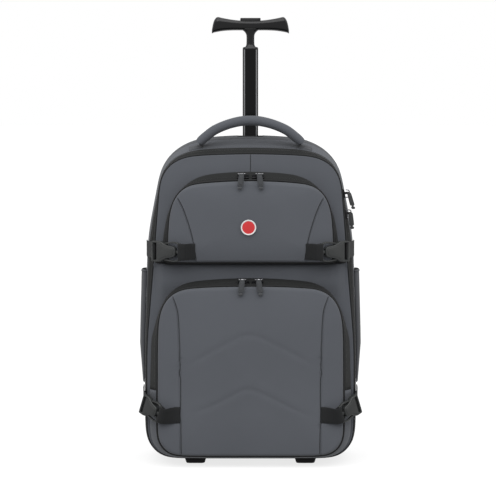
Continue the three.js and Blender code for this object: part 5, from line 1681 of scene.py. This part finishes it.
def floor():
    """A pale translucent floor, lit a little from below, so that it meets the white sky without a line."""
    made = Finish("pale_floor")
    where = made.places()
    cloud = made.noise(where, 3, 3.0)
    made.shade(Base_Color=made.mixed(cloud, (0.13, 0.13, 0.13), (0.14, 0.14, 0.14)), Roughness=0.95,
               Specular_IOR_Level=0.0, Emission_Color=(1, 1, 1), Emission_Strength=0.78)
    bpy.ops.object.select_all(action="DESELECT")
    bpy.ops.mesh.primitive_plane_add(size=60, location=(0, 0, 0))
    plane = bpy.context.active_object
    plane.name = "studio_floor"
    plane.data.materials.append(made.material)


def softbox(name, place, aim, size, power, color=(1, 1, 1)):
    light = bpy.data.lights.new(name, "AREA")
    light.shape = "RECTANGLE"
    light.size, light.size_y = size
    light.energy = power
    light.color = color
    obj = bpy.data.objects.new(name, light)
    bpy.context.scene.collection.objects.link(obj)
    obj.location = place
    obj.rotation_euler = (Vector(aim) - Vector(place)).to_track_quat("-Z", "Y").to_euler()
    return obj


def studio():
    """White all round, a very soft light from above, and softboxes that draw highlights on the hard pieces."""
    bpy.context.scene.view_settings.view_transform = "Standard"
    world = bpy.data.worlds.new("studio")
    world.use_nodes = True
    world.node_tree.nodes["Background"].inputs["Color"].default_value = (1, 1, 1, 1)
    world.node_tree.nodes["Background"].inputs["Strength"].default_value = 1.0
    bpy.context.scene.world = world
    ceiling = bpy.data.lights.new("ceiling", "SUN")
    ceiling.energy = 5.0
    ceiling.angle = math.radians(80)
    above = bpy.data.objects.new("ceiling", ceiling)
    bpy.context.scene.collection.objects.link(above)
    above.rotation_euler = Vector((0, 0.65, -1)).to_track_quat("-Z", "Y").to_euler()
    softbox("key", (-0.9, -2.6, 1.7), (0, 0, 0.35), (1.1, 1.1), 12)
    softbox("left_strip", (-1.5, -0.7, 0.9), (0, 0, 0.5), (0.35, 1.6), 6)
    softbox("right_strip", (1.5, -0.7, 0.9), (0, 0, 0.5), (0.35, 1.6), 6)


AIM = Vector((-0.0038, -0.08486, 0.3370))
CAMERA_DISTANCE = 3.5
ELEVATION = math.radians(4)


def camera():
    lens = bpy.data.cameras.new("camera")
    lens.lens = 167.1
    lens.sensor_width = 36
    lens.sensor_fit = "HORIZONTAL"
    obj = bpy.data.objects.new("camera", lens)
    bpy.context.scene.collection.objects.link(obj)
    away = Vector((0, -math.cos(ELEVATION), math.sin(ELEVATION)))
    obj.location = AIM + away * CAMERA_DISTANCE
    obj.rotation_euler = (-away).to_track_quat("-Z", "Y").to_euler()
    bpy.context.scene.camera = obj


floor()
studio()
camera()
